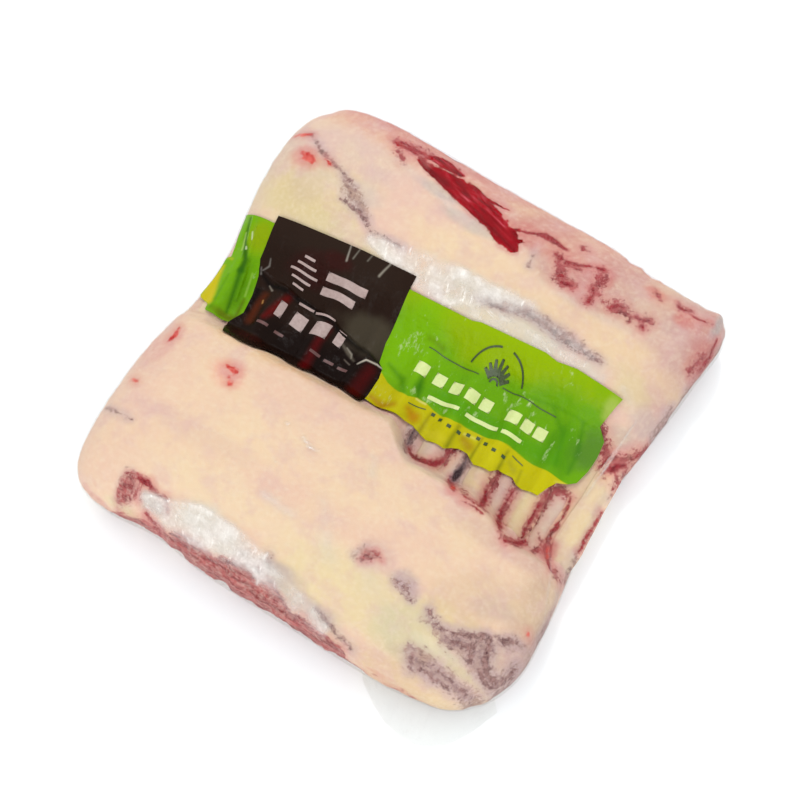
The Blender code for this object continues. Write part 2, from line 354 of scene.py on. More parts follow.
def lamb_material():
    """Raw lamb: fat in its own tones, mottled finely, with fields of lean, dull meat, veils and blood.

    Every field also stains the fat a little way round itself.
    """
    made, tree, where = new_material("raw_lamb")
    cloud = grain(tree, where, 26.0, 4.0)
    patch = grain(tree, where, 62.0, 5.0, 0.62)
    fine = grain(tree, where, 420.0, 5.0, 0.65)
    speckle = grain(tree, where, 360.0, 8.0, 0.8)
    grit = grain(tree, where, 620.0, 7.0, 0.82)
    fray = grain(tree, where, 150.0, 7.0, 0.74)
    crumb = grain(tree, where, 330.0, 7.0, 0.76)
    fibre = grain(tree, where, 1.0, 6.0, 0.72, stretch=(75.0, 520.0, 520.0))
    drawn = grain(tree, where, 1.0, 7.0, 0.74, stretch=(120.0, 300.0, 300.0))
    thread = grain(tree, where, 1.0, 4.0, 0.6, stretch=(36.0, 620.0, 620.0), turn=-0.31)
    cream = mottled(tree, cloud, 0.46, 0.62, stored(tree, "tone", "Color"), linear(246, 226, 182), 0.32)
    pink = mottled(tree, patch, 0.50, 0.64, cream, linear(226, 188, 186), 0.38)
    fat = mottled(tree, fine, 0.46, 0.70, pink, linear(252, 238, 214), 0.3)
    dusky = mottled(tree, drawn, 0.36, 0.60, linear(112, 74, 74), linear(196, 164, 148))
    purple = mottled(tree, grit, 0.46, 0.60, dusky, linear(206, 178, 162), 0.75)
    dim = mottled(tree, crumb, 0.38, 0.62, linear(84, 44, 50), linear(164, 124, 120))
    seam = mottled(tree, grit, 0.46, 0.60, dim, linear(186, 152, 144), 0.8)
    raw = mottled(tree, fibre, 0.40, 0.60, linear(124, 38, 50), linear(196, 108, 106))
    dull = mottled(tree, speckle, 0.45, 0.64, raw, linear(212, 172, 162), 0.85)
    mauve = mottled(tree, fray, 0.36, 0.62, linear(108, 16, 32), linear(176, 74, 82))
    smear = mottled(tree, grit, 0.46, 0.60, mauve, linear(200, 118, 116), 0.55)
    deep = mottled(tree, thread, 0.38, 0.58, linear(118, 0, 8), linear(176, 0, 26))
    lean = mottled(tree, thread, 0.60, 0.68, deep, linear(228, 110, 124), 0.6)
    crimson = mottled(tree, crumb, 0.40, 0.64, linear(104, 4, 26), linear(172, 50, 62))
    line = mottled(tree, grit, 0.46, 0.60, crimson, linear(196, 96, 98), 0.6)
    stain = mottled(tree, fray, 0.42, 0.60, linear(196, 16, 24), linear(240, 120, 108))
    colour, rosy, lilac = fat, linear(216, 134, 130), linear(196, 172, 176)
    for field, ragged, noise, blur, look, share, halo, reach in (
        ("veil", 24.0, speckle, 1.0, purple, 0.88, lilac, 3.0),
        ("seam", 11.0, speckle, 0.8, seam, 0.85, lilac, 2.4),
        ("smear", 18.0, speckle, 0.9, smear, 0.9, rosy, 3.4),
        ("meat", 7.0, crumb, 0.5, dull, 0.96, rosy, 1.6),
        ("lean", 9.0, fray, 0.3, lean, 1.0, rosy, 1.2),
        ("line", 5.4, crumb, 0.6, line, 0.92, rosy, 1.8),
        ("blood", 6.0, crumb, 0.8, stain, 0.92, rosy, 3.0),
        ("dark", 3.0, crumb, 0.8, linear(44, 22, 34), 0.9, lilac, 1.0),
    ):
        stained = edge(tree, field, 6.0, patch, reach, -0.8 * reach)
        colour = mixed(tree, maths(tree, "MULTIPLY", stained, 0.42), colour, halo)
        mask = edge(tree, field, ragged, noise, blur)
        colour = mixed(tree, maths(tree, "MULTIPLY", mask, share), colour, look)
    height = maths(tree, "MULTIPLY_ADD", fine, 0.4, maths(tree, "MULTIPLY_ADD", fibre, 0.35, patch))
    return surfaced(made, "ShaderNodeBsdfPrincipled", {
        "Base Color": colour,
        "Roughness": 0.5,
        "Subsurface Weight": 0.08,
        "Subsurface Radius": (0.006, 0.003, 0.002),
        "Subsurface Scale": 0.4,
        "Specular IOR Level": 0.03,
        "Normal": bumped(tree, height, 0.5, 0.0009),
    })


LAMB = lamb_material()
MARKS = ("veil", "seam", "smear", "meat", "lean", "line", "blood", "dark")


def rack_form(side, inner_y, rows=260, columns=150):
    """One rack: the pack's own form from its outer edge to its rib edge, where it sinks and rolls.

    Rows run along the backbone and columns from the outer edge in; the plan is the pack's
    outline, and the inner edge sinks by 4 mm and falls by (1 less share to the 30th) to the
    power 0.45.
    """
    along, share = grid(crowd(rows), crowd(columns, 0.0, 1.0))
    across = side * (1.0 - share) + share * inner_y(HALF_LENGTH * along) / HALF_WIDTH
    x, y = outline(along, across)
    x, y = x * (1.0 - FILM_GAP / HALF_LENGTH), y * (1.0 - FILM_GAP / HALF_WIDTH)
    reach = np.maximum(np.abs(along), side * across)
    edge_roll = np.clip(1.0 - share**EDGE_ORDER, 0.0, 1.0) ** EDGE_FALL
    sunk = EDGE_SINK * ease(EDGE_SINK_WIDTH, 0.0, side * (y - inner_y(x)))
    above = top_height(x, y) - FILM_GAP - sunk - WIDEST_HEIGHT
    top = WIDEST_HEIGHT + above * (rim_share(reach) * edge_roll)
    ribs = UNDER_RELIEF - UNDER_RELIEF * np.cos(2.0 * math.pi * (x - RIB_AT_X) / RIB_PITCH)
    under = under_height(reach) + FILM_GAP + ribs * (1.0 - reach**12)
    under = WIDEST_HEIGHT + (under - WIDEST_HEIGHT) * edge_roll
    return np.stack([x, y, top], axis=2), np.stack([x, y, under], axis=2)


def blend_tones(x, y, base, tints):
    """A base colour with soft round tints over it, each (x, y, reach x, reach y, colour, share)."""
    tone = np.broadcast_to(linear(*base), (*x.shape, 3)).copy()
    wander = 0.35 * rough(x, y, 22.0, 5)
    for cx, cy, rx, ry, colour, share in tints:
        away = np.hypot((x - cx) / rx, (y - cy) / ry) + wander
        tone += (share * ease(1.25, 0.45, away))[..., None] * (linear(*colour) - tone)
    return tone


def paint(x, y, *sets):
    """The depth fields of all kinds of marks at each place: the deepest of each kind's strokes."""
    fields = {}
    for mark in MARKS:
        depths = [stroke(x, y, path) for marks in sets for path in marks.get(mark, ())]
        fields[mark] = np.max(depths, axis=0) if depths else np.full(np.shape(x), NO_FIELD)
    return fields


def swell(points):
    """How far the pack's surface stands off its plain form: fractal hills 26 mm and 6.5 mm wide.

    The small ones are higher on the strip of meat along the front backbone, and seven
    tenths as much along the back one.
    """
    x, y, z = np.moveaxis(points, -1, 0)
    front = ease(-112.0, -120.0, y) * ease(-95.0, -80.0, x) * ease(44.0, 30.0, x)
    back = ease(100.0, 114.0, y) * ease(30.0, 60.0, x)
    lumps = LUMP_RELIEF + STRIP_RELIEF * np.maximum(front, 0.7 * back)
    return HILL_RELIEF * rough(x + 0.6 * z, y - 0.8 * z, 26.0, 11) + lumps * rough(x, y + z, 6.5, 21)


def cut_faces(x, y, z):
    """Depths of the meat that shows as ovals low on the sawn ends, and as a band along the backbones.

    Each depth is 6 or 5 mm, by 1 less the distance from the middle in radii, and its edge wanders.
    """
    ends, backs = reach_of(x, y)
    wander = 2.4 * rough(x + 0.7 * y, 2.0 * z, 13.0, 81, 3)
    eye = 6.0 - 6.0 * np.hypot((np.abs(y) - EYE_Y) / EYE_HALF_Y, (z - EYE_Z) / EYE_HALF_Z) + wander
    band = 5.0 - 5.0 * np.hypot((x - BAND_X) / BAND_HALF_X, (z - BAND_Z) / BAND_HALF_Z) + wander
    return {
        "veil": np.where(ends > CUT_FACE, eye, NO_FIELD),
        "meat": np.where(backs > CUT_FACE, band, NO_FIELD),
    }


def rack_fields(points, marks, below):
    """What is painted on one side of a rack: its marks, its cut faces, and strips between the ribs below.

    The marks run out down the sides, losing 0.3 mm for each mm below z 14, and on the back
    side 0.4 mm for each mm below a ragged line at z 20.
    """
    x, y, z = np.moveaxis(points, 2, 0)
    fields = paint(x, y, marks, RIB_BLOOD)
    foot = 0.4 * (z - 20.0) + 1.8 * rough(x, 1.5 * z, 10.0, 83, 3)
    for mark, depth in fields.items():
        depth = np.where(z < 14.0, np.minimum(depth, 0.3 * z - 3.0), depth)
        fields[mark] = np.where(y > 60.0, np.minimum(depth, foot), depth)
    bare = BARE_HALF - np.abs((x - RIB_AT_X + RIB_PITCH / 2) % RIB_PITCH - RIB_PITCH / 2 - RIB_PITCH / 4)
    fields["meat"] = np.maximum(fields["meat"], np.where(below > 0.5, bare, NO_FIELD))
    for mark, depth in cut_faces(x, y, z).items():
        fields[mark] = np.maximum(fields[mark], depth)
    return fields


def make_rack(name, side, inner_y, base, tints, marks):
    """Builds a rack, sinks its meat below its fat, and stores what is painted on it."""
    sheets, painted, tones = [], [], []
    for points, facing in zip(rack_form(side, inner_y), (1.0, -1.0)):
        x, y, z = np.moveaxis(points, 2, 0)
        below = ease(9.0, 3.0, z) * (1.0 if facing < 0 else 0.0)
        fields = rack_fields(points, marks, below)
        sunk = sum(ease(-0.8, 1.2, fields[mark]) for mark in ("meat", "smear", "lean", "veil"))
        amount = (swell(points) - MEAT_SINK * np.clip(sunk, 0.0, 1.0)) * (1.0 - below)
        sheets.append(points + facing_normals(points, facing) * amount[..., None])
        painted.append(fields)
        tones.append(blend_tones(x, y, base, tints))
    points, faces = closed_form(*sheets)
    fields = {mark: joined(painted[0][mark], painted[1][mark]) for mark in MARKS}
    piece = make_piece(name, points, faces, LAMB, fields, joined(*tones))


RIB_BLOOD = {  # drawn along the ribs' edges by the vacuum, and raw meat at their right end
    "line": (
        [(18.5, -20.5, 0.8), (21, -23.4, 1.3), (28, -24.6, 1.5), (33, -22.6, 1.3), (35.6, -19, 0.9)],
        [(43, -23.5, 0.8), (44.6, -27, 1.7), (47.4, -31, 2.1), (50.4, -34.6, 1.2)],
        [(56, -34.6, 0.3), (62, -35.4, 0.5), (66, -34, 0.7)],
        [(57, -37.5, 0.3), (62, -37, 0.5), (68, -38, 0.4)],
        [(61.2, -21, 0.5), (62.4, -24, 1), (63.6, -29, 1.3), (64.6, -33, 1)],
        [(72.2, -15, 0.4), (72.4, -24, 0.7), (73.6, -31, 1.3), (76.4, -36.5, 1.4), (79, -41, 0.6)],
        [(87.4, -33, 0.8), (86.9, -26, 0.8), (86.8, -18, 0.7), (87.4, -8, 0.4)],
        [(98, -3, 0.5), (98.8, -7, 0.8), (99.2, -14, 0.7), (99, -20, 1.1), (98.2, -26, 1.2),
         (100, -30, 1.9), (102, -34, 1.9), (104.6, -39, 1), (108, -43, 0.5)],
        [(107.4, 16.6, 0.5), (108.6, 19, 1.6), (110, 22, 1.2), (112.6, 25, 0.6)],
        [(102.6, 17.4, 0.4), (104, 21, 0.6), (104.4, 24.6, 0.4)],
        [(115.4, 31, 0.4), (116.6, 36, 0.7), (117.2, 40, 0.4)],
        [(93.6, -27, 0.5), (95, -29.6, 0.7), (98, -29.4, 0.5)],
        [(84, -44.6, 0.8), (88, -38, 1.2), (89.4, -34, 0.8)],
        [(113.8, -24, 0.7), (113.6, -18, 0.8), (114, -9, 0.5), (114, -1, 0.4)],
    ),
    "smear": (
        [(81, -41, 1), (84, -42.4, 3), (87, -41, 3.4), (88.5, -37, 2.4), (90, -34, 1)],
        [(38, -9, 2), (36.4, -14, 2.3), (35.6, -18.5, 1.8), (33, -22.6, 1.6)],
        [(61.8, -8, 1.8), (62, -15, 2), (62.2, -20, 1.7), (63.4, -28, 1.5), (65, -34, 1.6)],
        [(70, -8, 1.4), (72, -14, 1.6), (73, -22, 1.5), (73.6, -29, 1.6), (77, -37, 1.2)],
        [(87.6, -30, 1.3), (87.6, -22, 1.8), (88, -14, 2.1), (88.6, -6, 2.5), (91, -2.4, 2.6),
         (96, -3.4, 1.8)],
        [(100, -31, 2.4), (97, -35, 1.8), (96, -38, 1.2)],
        [(51, -28, 0.4), (56, -33, 1.2), (62, -34, 0.8), (67, -34, 1.4)],
        [(109, -42.6, 1.6), (111.6, -43.4, 1.4), (113.6, -45, 0.5)],
        [(94, 33, 1), (96.5, 31, 1.6)],
        [(98.6, 29, 1.2), (101, 26, 2), (103.6, 23, 1.7), (103, 18, 1.4)],
        [(108, 17, 2.2), (109, 22, 3.6), (111.4, 24, 2.6), (113, 28, 1.4), (114.6, 33, 0.6)],
        [(106.4, 17, 1.2), (106.6, 14, 0.8)],
        [(112.6, 18, 1), (113.4, 12, 0.8)],
    ),
    "seam": (
        [(15.4, -9, 1.4), (16, -15, 2.2), (17.4, -21, 2), (19, -25, 1.2)],
        [(34.6, -9, 1.6), (35.4, -15, 0.8)],
        [(45, -8, 1.8), (45.4, -15, 2.4), (45, -22, 2.4), (47, -27, 1.6)],
        [(117.4, 42, 0.5), (118.4, 50, 0.8), (119.6, 60, 0.5)],
        [(113.8, 6, 0.4), (113.8, 14, 0.6), (114.4, 24, 0.4)],
        [(114.2, -2, 0.6), (114.4, -12, 0.7), (114.4, -30, 0.6), (115.4, -42, 0.5)],
    ),
    "blood": (
        [(47, -29.5, 0.6), (49.6, -33.5, 0.9)],
        [(100.5, -31, 0.6), (103, -36, 0.8)],
    ),
    "dark": (
        [(45.2, -12, 0.2), (45.4, -16.6, 1.1), (44.9, -20, 1.9), (44.9, -23, 1.6), (45.4, -25, 0.4)],
        [(15.6, -11, 0.2), (16.2, -16, 0.7), (17, -20, 0.3)],
    ),
}
BACK_TINTS = (
    (0, 120, 150, 18, (218, 158, 146), 0.85),
    (45, 103, 60, 14, (216, 160, 148), 0.75),
    (75, 88, 50, 16, (212, 176, 166), 0.9),
    (108, 85, 20, 45, (214, 176, 166), 0.9),
    (107, 26, 12, 10, (220, 164, 152), 0.9),
    (118, 92, 10, 24, (206, 146, 138), 0.9),
    (-60, 112, 50, 10, (226, 168, 156), 0.7),
    (-95, 62, 40, 26, (230, 210, 172), 0.95),
    (-66, 52, 40, 10, (228, 212, 174), 0.95),
    (-82, 96, 34, 12, (230, 200, 188), 0.9),
    (-112, 70, 8, 40, (226, 200, 184), 0.7),
    (-88, 71, 10, 9, (222, 208, 196), 0.8),
    (10, 70, 80, 12, (242, 216, 182), 0.8),
    (80, 66, 50, 12, (238, 210, 174), 0.9),
    (20, 54, 70, 9, (224, 214, 194), 0.9),
    (40, 50, 56, 5, (228, 216, 190), 0.95),
    (-90, 58, 24, 12, (226, 208, 160), 0.8),
    (-98, 80, 9, 6.5, (228, 158, 144), 0.8),
    (-64, 74, 14, 6, (216, 198, 190), 0.6),
    (62, 84, 34, 9, (204, 158, 150), 0.6),
    (87, 103, 7, 5, (216, 132, 126), 0.8),
    (30, 98, 26, 7, (212, 138, 130), 0.7),
    (-30, 97, 15, 4, (206, 186, 178), 0.9),
    (-10, 88, 16, 3.6, (210, 194, 184), 0.85),
    (75, 98, 30, 13, (216, 170, 160), 0.8),
    (104, 97, 5, 4, (208, 122, 114), 0.7),
    (86, 103.5, 5, 3.5, (212, 112, 108), 0.8),
    (46, 92, 14, 8, (206, 146, 140), 0.8),
    (60, 97, 6, 8, (204, 132, 128), 0.7),
    (119, 110, 3, 13, (190, 180, 178), 0.8),
    (98, 51, 13, 10, (228, 208, 168), 0.9),
    (111, 42, 8, 9, (214, 188, 180), 0.9),
    (105, 33, 9, 5, (214, 194, 180), 0.8),
    (122, 90, 2.2, 10, (150, 118, 110), 0.8),
    (-90, 70, 10, 14, (220, 198, 166), 0.6),
    (106, 99, 7, 6, (216, 142, 134), 0.8),
    (-40, 124, 60, 8, (206, 130, 122), 0.6),
    (46, 123, 9, 4, (190, 100, 100), 0.8),
    (72, 121, 9, 3, (190, 100, 100), 0.8),
)
BACK_MARKS = {
    "lean": (
        [(-50, 108.4, 1.2), (-42, 106, 3), (-30, 104.6, 5.2), (-18, 101.8, 7), (-8, 98.4, 6.6),
         (2, 94.4, 6.2), (10, 90, 5.8), (14, 87, 3.4)],
        [(12, 91, 1.5), (18, 93.6, 0.7)],
        [(-36, 108, 1.8), (-20, 107.8, 2.4), (-8, 105.8, 1.5), (2, 106, 0.4)],
        [(-65, 111.4, 0.9), (-56, 111, 0.9), (-48, 109, 1.4)],
        [(9, 96.4, 1), (14, 97.8, 0.6)],
        [(-52, 112.8, 0.8), (-44, 113.8, 2.4), (-36, 113.6, 3.2), (-29, 112.8, 2.2)],
    ),
    "smear": (
        [(34.6, 95, 1.08), (38, 92.4, 2.43), (41, 88.5, 2.7), (42, 85.4, 3.51), (41, 82.8, 1.89)],
        [(43, 82.4, 1.62), (46, 83, 2.97), (49.4, 83.8, 2.43)],
        [(34, 96, 0.81), (42, 93.4, 1.62), (48, 94.6, 1.08)],
        [(56, 99.6, 1.35), (58.4, 98.4, 2.7), (60, 94, 2.7), (59.6, 90, 1.62)],
        [(58.8, 88, 2.16), (60.8, 85.6, 1.89), (60.4, 82, 1.49), (59.6, 79.4, 1.89)],
        [(62, 85.8, 1.08), (66, 84.8, 0.54), (70, 84.6, 0.81)],
        [(71, 83.4, 2.43), (73.6, 85.6, 3.51), (77, 85.4, 2.97), (79, 84.4, 2.16)],
        [(81.4, 84.6, 1.08), (81.8, 82.4, 1.22)],
        [(83.4, 85.4, 1.49), (87, 85.4, 2.29), (90, 87.6, 2.43)],
        [(87.4, 84.6, 1.62), (88.6, 82.6, 2.16)],
        [(43.5, 106.2, 1.4), (44.6, 106.6, 1.2)],
        [(97, 105.6, 1), (99, 104, 1.5), (102, 104.6, 1.4), (104.4, 106, 0.9)],
        [(84, 106, 0.5), (87, 103, 1.2), (89, 101.6, 0.6)],
        [(-67, 113, 1), (-58, 113, 2.6), (-48, 113.6, 3.4)],
        [(-82, 127, 1.4), (-62, 126.5, 3.2), (-44, 125.5, 2.8), (-36, 122, 1.6)],
        [(-67, 112, 1), (-61.5, 107.5, 1.5), (-58, 104, 1.1), (-56, 101, 0.8)],
        [(118, 79, 1), (119.6, 85, 1.4), (121, 92, 1)],
        [(34, 122, 1), (46, 121, 2), (54, 120, 0.6)],
        [(64, 119, 1), (74, 118, 1.8), (84, 117, 0.6)],
    ),
    "line": (
        [(-64, 113, 0.6), (-56, 113.6, 1), (-50, 112.6, 0.5)],
        [(-60, 111.8, 0.5), (-50, 110.6, 0.5), (-45, 108, 0.5)],
        [(14, 97.8, 0.4), (19, 99.8, 0.8), (24, 102, 1.6), (29, 102, 2), (33, 101, 1.2),
         (38, 100.4, 0.4)],
        [(34.4, 95.6, 0.5), (42, 95, 0.7), (47, 96, 0.8), (52, 98.4, 0.5), (57.6, 100.4, 0.8)],
        [(36.6, 94.2, 0.4), (40.4, 93.4, 0.7), (43.6, 93.6, 0.4)],
        [(41.4, 85.6, 1), (43, 86, 0.8)],
        [(43.6, 82.6, 0.7), (46.4, 83.2, 1.4), (49, 83.8, 1)],
        [(58.6, 87.6, 0.9), (60.8, 85.4, 0.5), (60, 80.4, 0.9)],
        [(71.4, 83.2, 1), (73, 86.2, 0.6), (77, 87, 0.4)],
        [(84, 85.4, 0.8), (88, 85.8, 0.9), (90, 87.4, 0.9)],
        [(88.6, 82.8, 0.9), (88.8, 82.6, 0.9)],
        [(97.4, 105.2, 0.6), (99.4, 103.8, 0.9), (102.6, 104.8, 0.5)],
        [(104, 103.6, 0.4), (109, 103.2, 0.4), (113, 104.4, 0.4), (116, 106, 0.3)],
        [(122, 84, 0.3), (122.5, 92, 0.7), (121.5, 102, 0.4)],
    ),
    "veil": (
        [(-77, 78, 0.4), (-70, 74, 2.4), (-63, 70, 2.8), (-56, 65.5, 1)],
        [(12, 56, 0.6), (22, 57.4, 2.2), (30, 59.2, 2.2), (38, 60.8, 1.4)],
        [(40, 60.6, 1.6), (48, 59.8, 2.8), (57, 58.6, 2.8), (67, 57.6, 1.8), (72, 57.2, 0.9)],
        [(75, 57, 1.6), (80, 56.4, 1)],
    ),
    "seam": (
        [(-104, 94, 0.5), (-100, 91.5, 0.4), (-95, 87, 0.8), (-88, 84.5, 0.8), (-82, 82, 0.6),
         (-68, 77, 0.4)],
        [(-72, 68, 0.2), (-65, 67, 0.9), (-60, 66, 1), (-54, 63, 0.6), (-50, 60.5, 0.7), (-42, 61, 0.4),
         (-33, 60.5, 0.6)],
        [(16, 55.4, 0.8), (28, 57.8, 1.5), (39, 60.4, 1.4), (48, 59.4, 1), (58, 57.6, 1.7),
         (78, 56, 0.6)],
        [(25, 90, 0.1), (26, 82, 0.3)],
    ),
    "blood": (
        [(-103, 82.5, 0.6), (-99, 81.5, 2.4), (-95, 79.5, 1.6)],
        [(-89, 83.5, 0.6), (-86.5, 82, 1)],
        [(-113, 92, 0.6), (-108, 93.2, 1.2), (-104, 94, 0.6)],
    ),
}
make_rack("back_rack", 1.0, lambda x: 14.0 + 0.0 * x, (238, 204, 186), BACK_TINTS, BACK_MARKS)


# The front rack of lamb, nested against the back one with its rib edge a thumb's width
# higher than the ribs. It is the same cut: a fat cap over the loin, knife-trimmed at the corner
# and along the backbone so that strips of meat show. The bag alone holds it.

FRONT_TINTS = (
    (0, -55, 90, 18, (245, 218, 186), 0.7),
    (-20, -93, 90, 12, (244, 220, 188), 0.8),
    (-75, -72, 34, 6, (232, 198, 182), 0.8),
    (35, -103, 45, 17, (236, 218, 174), 0.9),
    (68, -108, 20, 14, (222, 210, 172), 0.9),
    (84, -90, 16, 5, (234, 212, 166), 0.9),
    (106, -96, 10, 8, (216, 200, 162), 0.9),
    (92, -109, 24, 4, (216, 204, 166), 0.9),
    (88, -115, 24, 5, (190, 162, 148), 0.85),
    (70, -123, 60, 5, (226, 198, 160), 0.8),
    (112, -66, 13, 52, (212, 180, 158), 0.9),
    (88, -74, 26, 16, (228, 200, 168), 0.7),
    (119, -72, 5, 42, (186, 150, 138), 0.8),
    (98, -76, 14, 8, (212, 186, 172), 0.6),
    (85, -46, 34, 8, (224, 188, 172), 0.8),
    (-72, -37, 9, 9, (242, 172, 156), 0.85),
    (-112, -35, 8, 22, (230, 184, 172), 0.8),
    # Painted shade: a brownish band below the dark panel's lower edge, where the lip's face turns from the
    # light.
    (-50, -18, 60, 6, (228, 186, 146), 0.8),
    (18, -26, 18, 8, (230, 196, 176), 0.8),
    (60, -36, 20, 6, (226, 190, 174), 0.8),
    (35, -82, 12, 8, (224, 190, 176), 0.8),
    (54, -86, 8, 6, (208, 178, 170), 0.8),
    (-70, -109.6, 9, 4, (206, 190, 184), 0.9),
    (-85, -116.4, 9, 1.6, (226, 212, 174), 0.9),
    (-66, -115.6, 8, 1.6, (206, 170, 162), 0.8),
    (-46, -107, 16, 8, (234, 226, 212), 0.95),
    (-28, -109, 14, 8, (230, 218, 202), 0.95),
    (-2, -112, 16, 6, (204, 186, 176), 0.9),
    # Painted light: a pale patch that brightens the shaded slope below the rib edge.
    (32, -29, 30, 7, (250, 220, 200), 0.9),
    (84, -106, 16, 3, (224, 216, 186), 0.9),
    (93, -103, 3, 3, (214, 198, 172), 0.7),
    (54, -85, 7, 4, (206, 182, 178), 0.7),
    (18, -117.6, 18, 5, (200, 182, 170), 0.95),
)
FRONT_MARKS = {
    "meat": (
        [(-89, -104.5, 0.8), (-86.4, -103, 1), (-82, -103.2, 1.6), (-77, -103.4, 2), (-73.6, -104.6, 1.2),
         (-70, -105.6, 0.8), (-66, -105.4, 0.9), (-63, -109, 0.8), (-62, -111, 0.5)],
        [(-89.2, -107, 0.5), (-89, -112, 0.8), (-88, -115.4, 0.8), (-84, -114.4, 0.5)],
        [(-80.6, -106, 0.6), (-80, -110, 0.7), (-82, -112.6, 0.5)],
        [(-85, -104.8, 2.6), (-85.8, -108.6, 2.8), (-85.6, -112, 2.4)],
        [(-83.4, -107, 0.9), (-83, -111.6, 1)],
        [(-72, -114, 0.5), (-68, -115.6, 0.9), (-63, -117, 0.8), (-55, -118.6, 1), (-48, -118.6, 1.2)],
        [(-88, -118.8, 0.3), (-80, -118.4, 0.9), (-72, -117.4, 1.6), (-62, -118.8, 1.4),
         (-52, -118, 2.8)],
        [(-58, -116.4, 0.6), (-52, -116.8, 2.2), (-44, -118.4, 3.4), (-40, -119.5, 3.8), (-28, -122, 3.6),
         (-18, -121.5, 5), (-12, -118, 4.8)],
        [(-5, -119, 5), (3, -122, 4.4), (12, -124.5, 3.4), (25, -125, 3), (42, -126, 1.5)],
        [(-18, -123, 4), (0, -124, 4)],
        [(-30, -119, 3), (-18, -117, 3.6), (-11, -115, 3), (-2, -118.6, 2.6)],
        [(31, -87, 1.2), (33, -84, 2.6), (35, -82, 2.1), (39.5, -83, 0.5)],
    ),
    "line": (
        [(-82, -103.4, 0.8), (-77.6, -103.6, 1.6), (-74.6, -104.2, 0.8)],
        [(-79, -106, 0.3), (-77.5, -111, 0.4)],
        [(-72, -114, 0.3), (-64, -117, 0.6)],
    ),
    "veil": (
        [(70, -92.6, 1), (72, -96, 2), (79, -98, 1.8), (85, -99.4, 4), (91, -98, 5.4), (97, -97, 6.8),
         (102, -102, 4.6), (108, -103.8, 3.4), (113, -104, 3.2)],
        [(95, -91.5, 1.2), (99, -90, 2), (103, -92.6, 2.6), (104, -97, 2.2)],
        [(104.5, -87.6, 1.2), (108, -86, 2.8), (111, -84, 2), (115, -83, 0.8)],
        [(116.5, -90, 0.8), (116, -97, 2), (114, -102, 2.4)],
        [(70.5, -112, 1.8), (76, -114, 4.4), (86, -114.6, 3.4), (96, -115, 3), (104, -114.6, 2.6),
         (109, -113, 1)],
        [(50, -88.5, 0.6), (55, -89, 2.2), (60.5, -92, 1)],
        [(27, -87, 0.4), (31, -84, 2.2)],
        [(-87, -105, 2), (-85.6, -108, 3.4), (-86, -112, 2.8), (-87, -114, 1.6)],
        [(-21, -111, 0.9), (-18, -111, 0.5)],
        [(-8, -106, 0.3), (-7, -110, 0.9)],
    ),
    "seam": (
        [(23, -116.5, 0.3), (30, -118.5, 1), (38, -121, 0.6), (46, -123, 0.2)],
        [(-117, -79, 0.3), (-112, -80, 0.3), (-100, -81, 0.05)],
        [(118, -46, 0.5), (119, -60, 0.7), (119.6, -74, 0.6)],
        [(70, -92.6, 0.4), (73, -94.8, 0.8), (78, -97, 0.6), (84, -96, 1), (91, -94.6, 1.4),
         (97, -91, 1.8), (100, -89, 1.2), (103, -93, 1.2), (103.4, -98, 1.6), (107, -102.4, 1.8),
         (113, -103.6, 1.4)],
        [(84, -99.6, 1.2), (92, -98.4, 1.2), (96, -97, 1.8), (98, -102.6, 1.6)],
        [(104.4, -104.6, 1.4), (109, -106.6, 1.2), (113, -104.6, 1)],
        [(105.6, -87.4, 1), (109, -85.4, 1.5), (112.6, -83.2, 0.8)],
        [(71.6, -111, 0.4), (74, -114.6, 0.9), (75.4, -119.4, 0.6)],
        [(79, -117, 0.4), (87, -117.6, 0.7), (95, -117, 0.4)],
        [(83, -113.4, 0.3), (93, -114, 0.5), (103, -114.8, 0.4)],
        [(117, -92, 0.5), (116.2, -97, 1), (115, -101, 0.8)],
        [(52, -89, 0.4), (57, -89.2, 0.9), (60.6, -92.4, 0.5)],
    ),
    "blood": (
        [(-74, -34.5, 1.2), (-70, -35, 1.6)],
        [(-71, -39, 0.4), (-68.5, -42.5, 1)],
        [(-108, -26, 0.5), (-107, -31, 1.1), (-108.5, -35, 0.5)],
        [(-112, -61.5, 0.7), (-110, -62, 0.7)],
        [(114, -76, 0.6), (114.4, -77, 0.6)],
    ),
}
make_rack("front_rack", -1.0, lambda x: lip_y(x) + 9.0, (241, 208, 184), FRONT_TINTS, FRONT_MARKS)


# The bed under the ribs: the thin flank skin and membrane that both racks' bared ribs lie on,
# pale and pinkish, with blood drawn along each bone by the vacuum.

BED_SINK, BED_TUCK = 1.6, 9.0  # under the film, and further down in under the racks
BED_FRONT, BED_BACK = -0.46, 0.34  # share across, where it starts and ends
BED_TONE = (232, 190, 178)
BED_TINTS = (
    (60, -20, 60, 16, (226, 196, 180), 0.9),
    (105, 0, 14, 40, (238, 212, 174), 0.9),
    (-105, 0, 20, 40, (224, 186, 170), 0.9),
)


def rib_bed(rows=240, columns=110):
    """The pack's form sunk a little, and deeper where it runs in under the two racks.

    Its edges fall by (1 less place to the 20th) to the power 0.5.
    """
    along, across = grid(crowd(rows), np.linspace(BED_FRONT, BED_BACK, columns))
    x, y = outline(along, across)
    x = x * (1.0 - FILM_GAP / HALF_LENGTH)
    reach = np.abs(along)
    ends = np.clip(1.0 - np.abs(np.linspace(-1.0, 1.0, columns)) ** 20, 0.0, 1.0) ** 0.5
    sunk = BED_SINK + BED_TUCK * (ease(24.0, 34.0, y) + ease(lip_y(x) + 1.0, lip_y(x) - 7.0, y))
    top = WIDEST_HEIGHT + (top_height(x, y) - sunk - WIDEST_HEIGHT) * rim_share(reach) * ends
    under = WIDEST_HEIGHT + (under_height(reach) + FILM_GAP - WIDEST_HEIGHT) * ends
    top = top + 0.25 * rough(x, y, 9.0, 31) * ends * rim_share(reach)
    tone = blend_tones(x, y, BED_TONE, BED_TINTS)
    points, faces = closed_form(np.stack([x, y, top], axis=2), np.stack([x, y, under], axis=2))
    fields = {mark: joined(depth, depth) for mark, depth in paint(x, y, RIB_BLOOD).items()}
    make_piece("rib_bed", points, faces, LAMB, fields, joined(tone, tone))


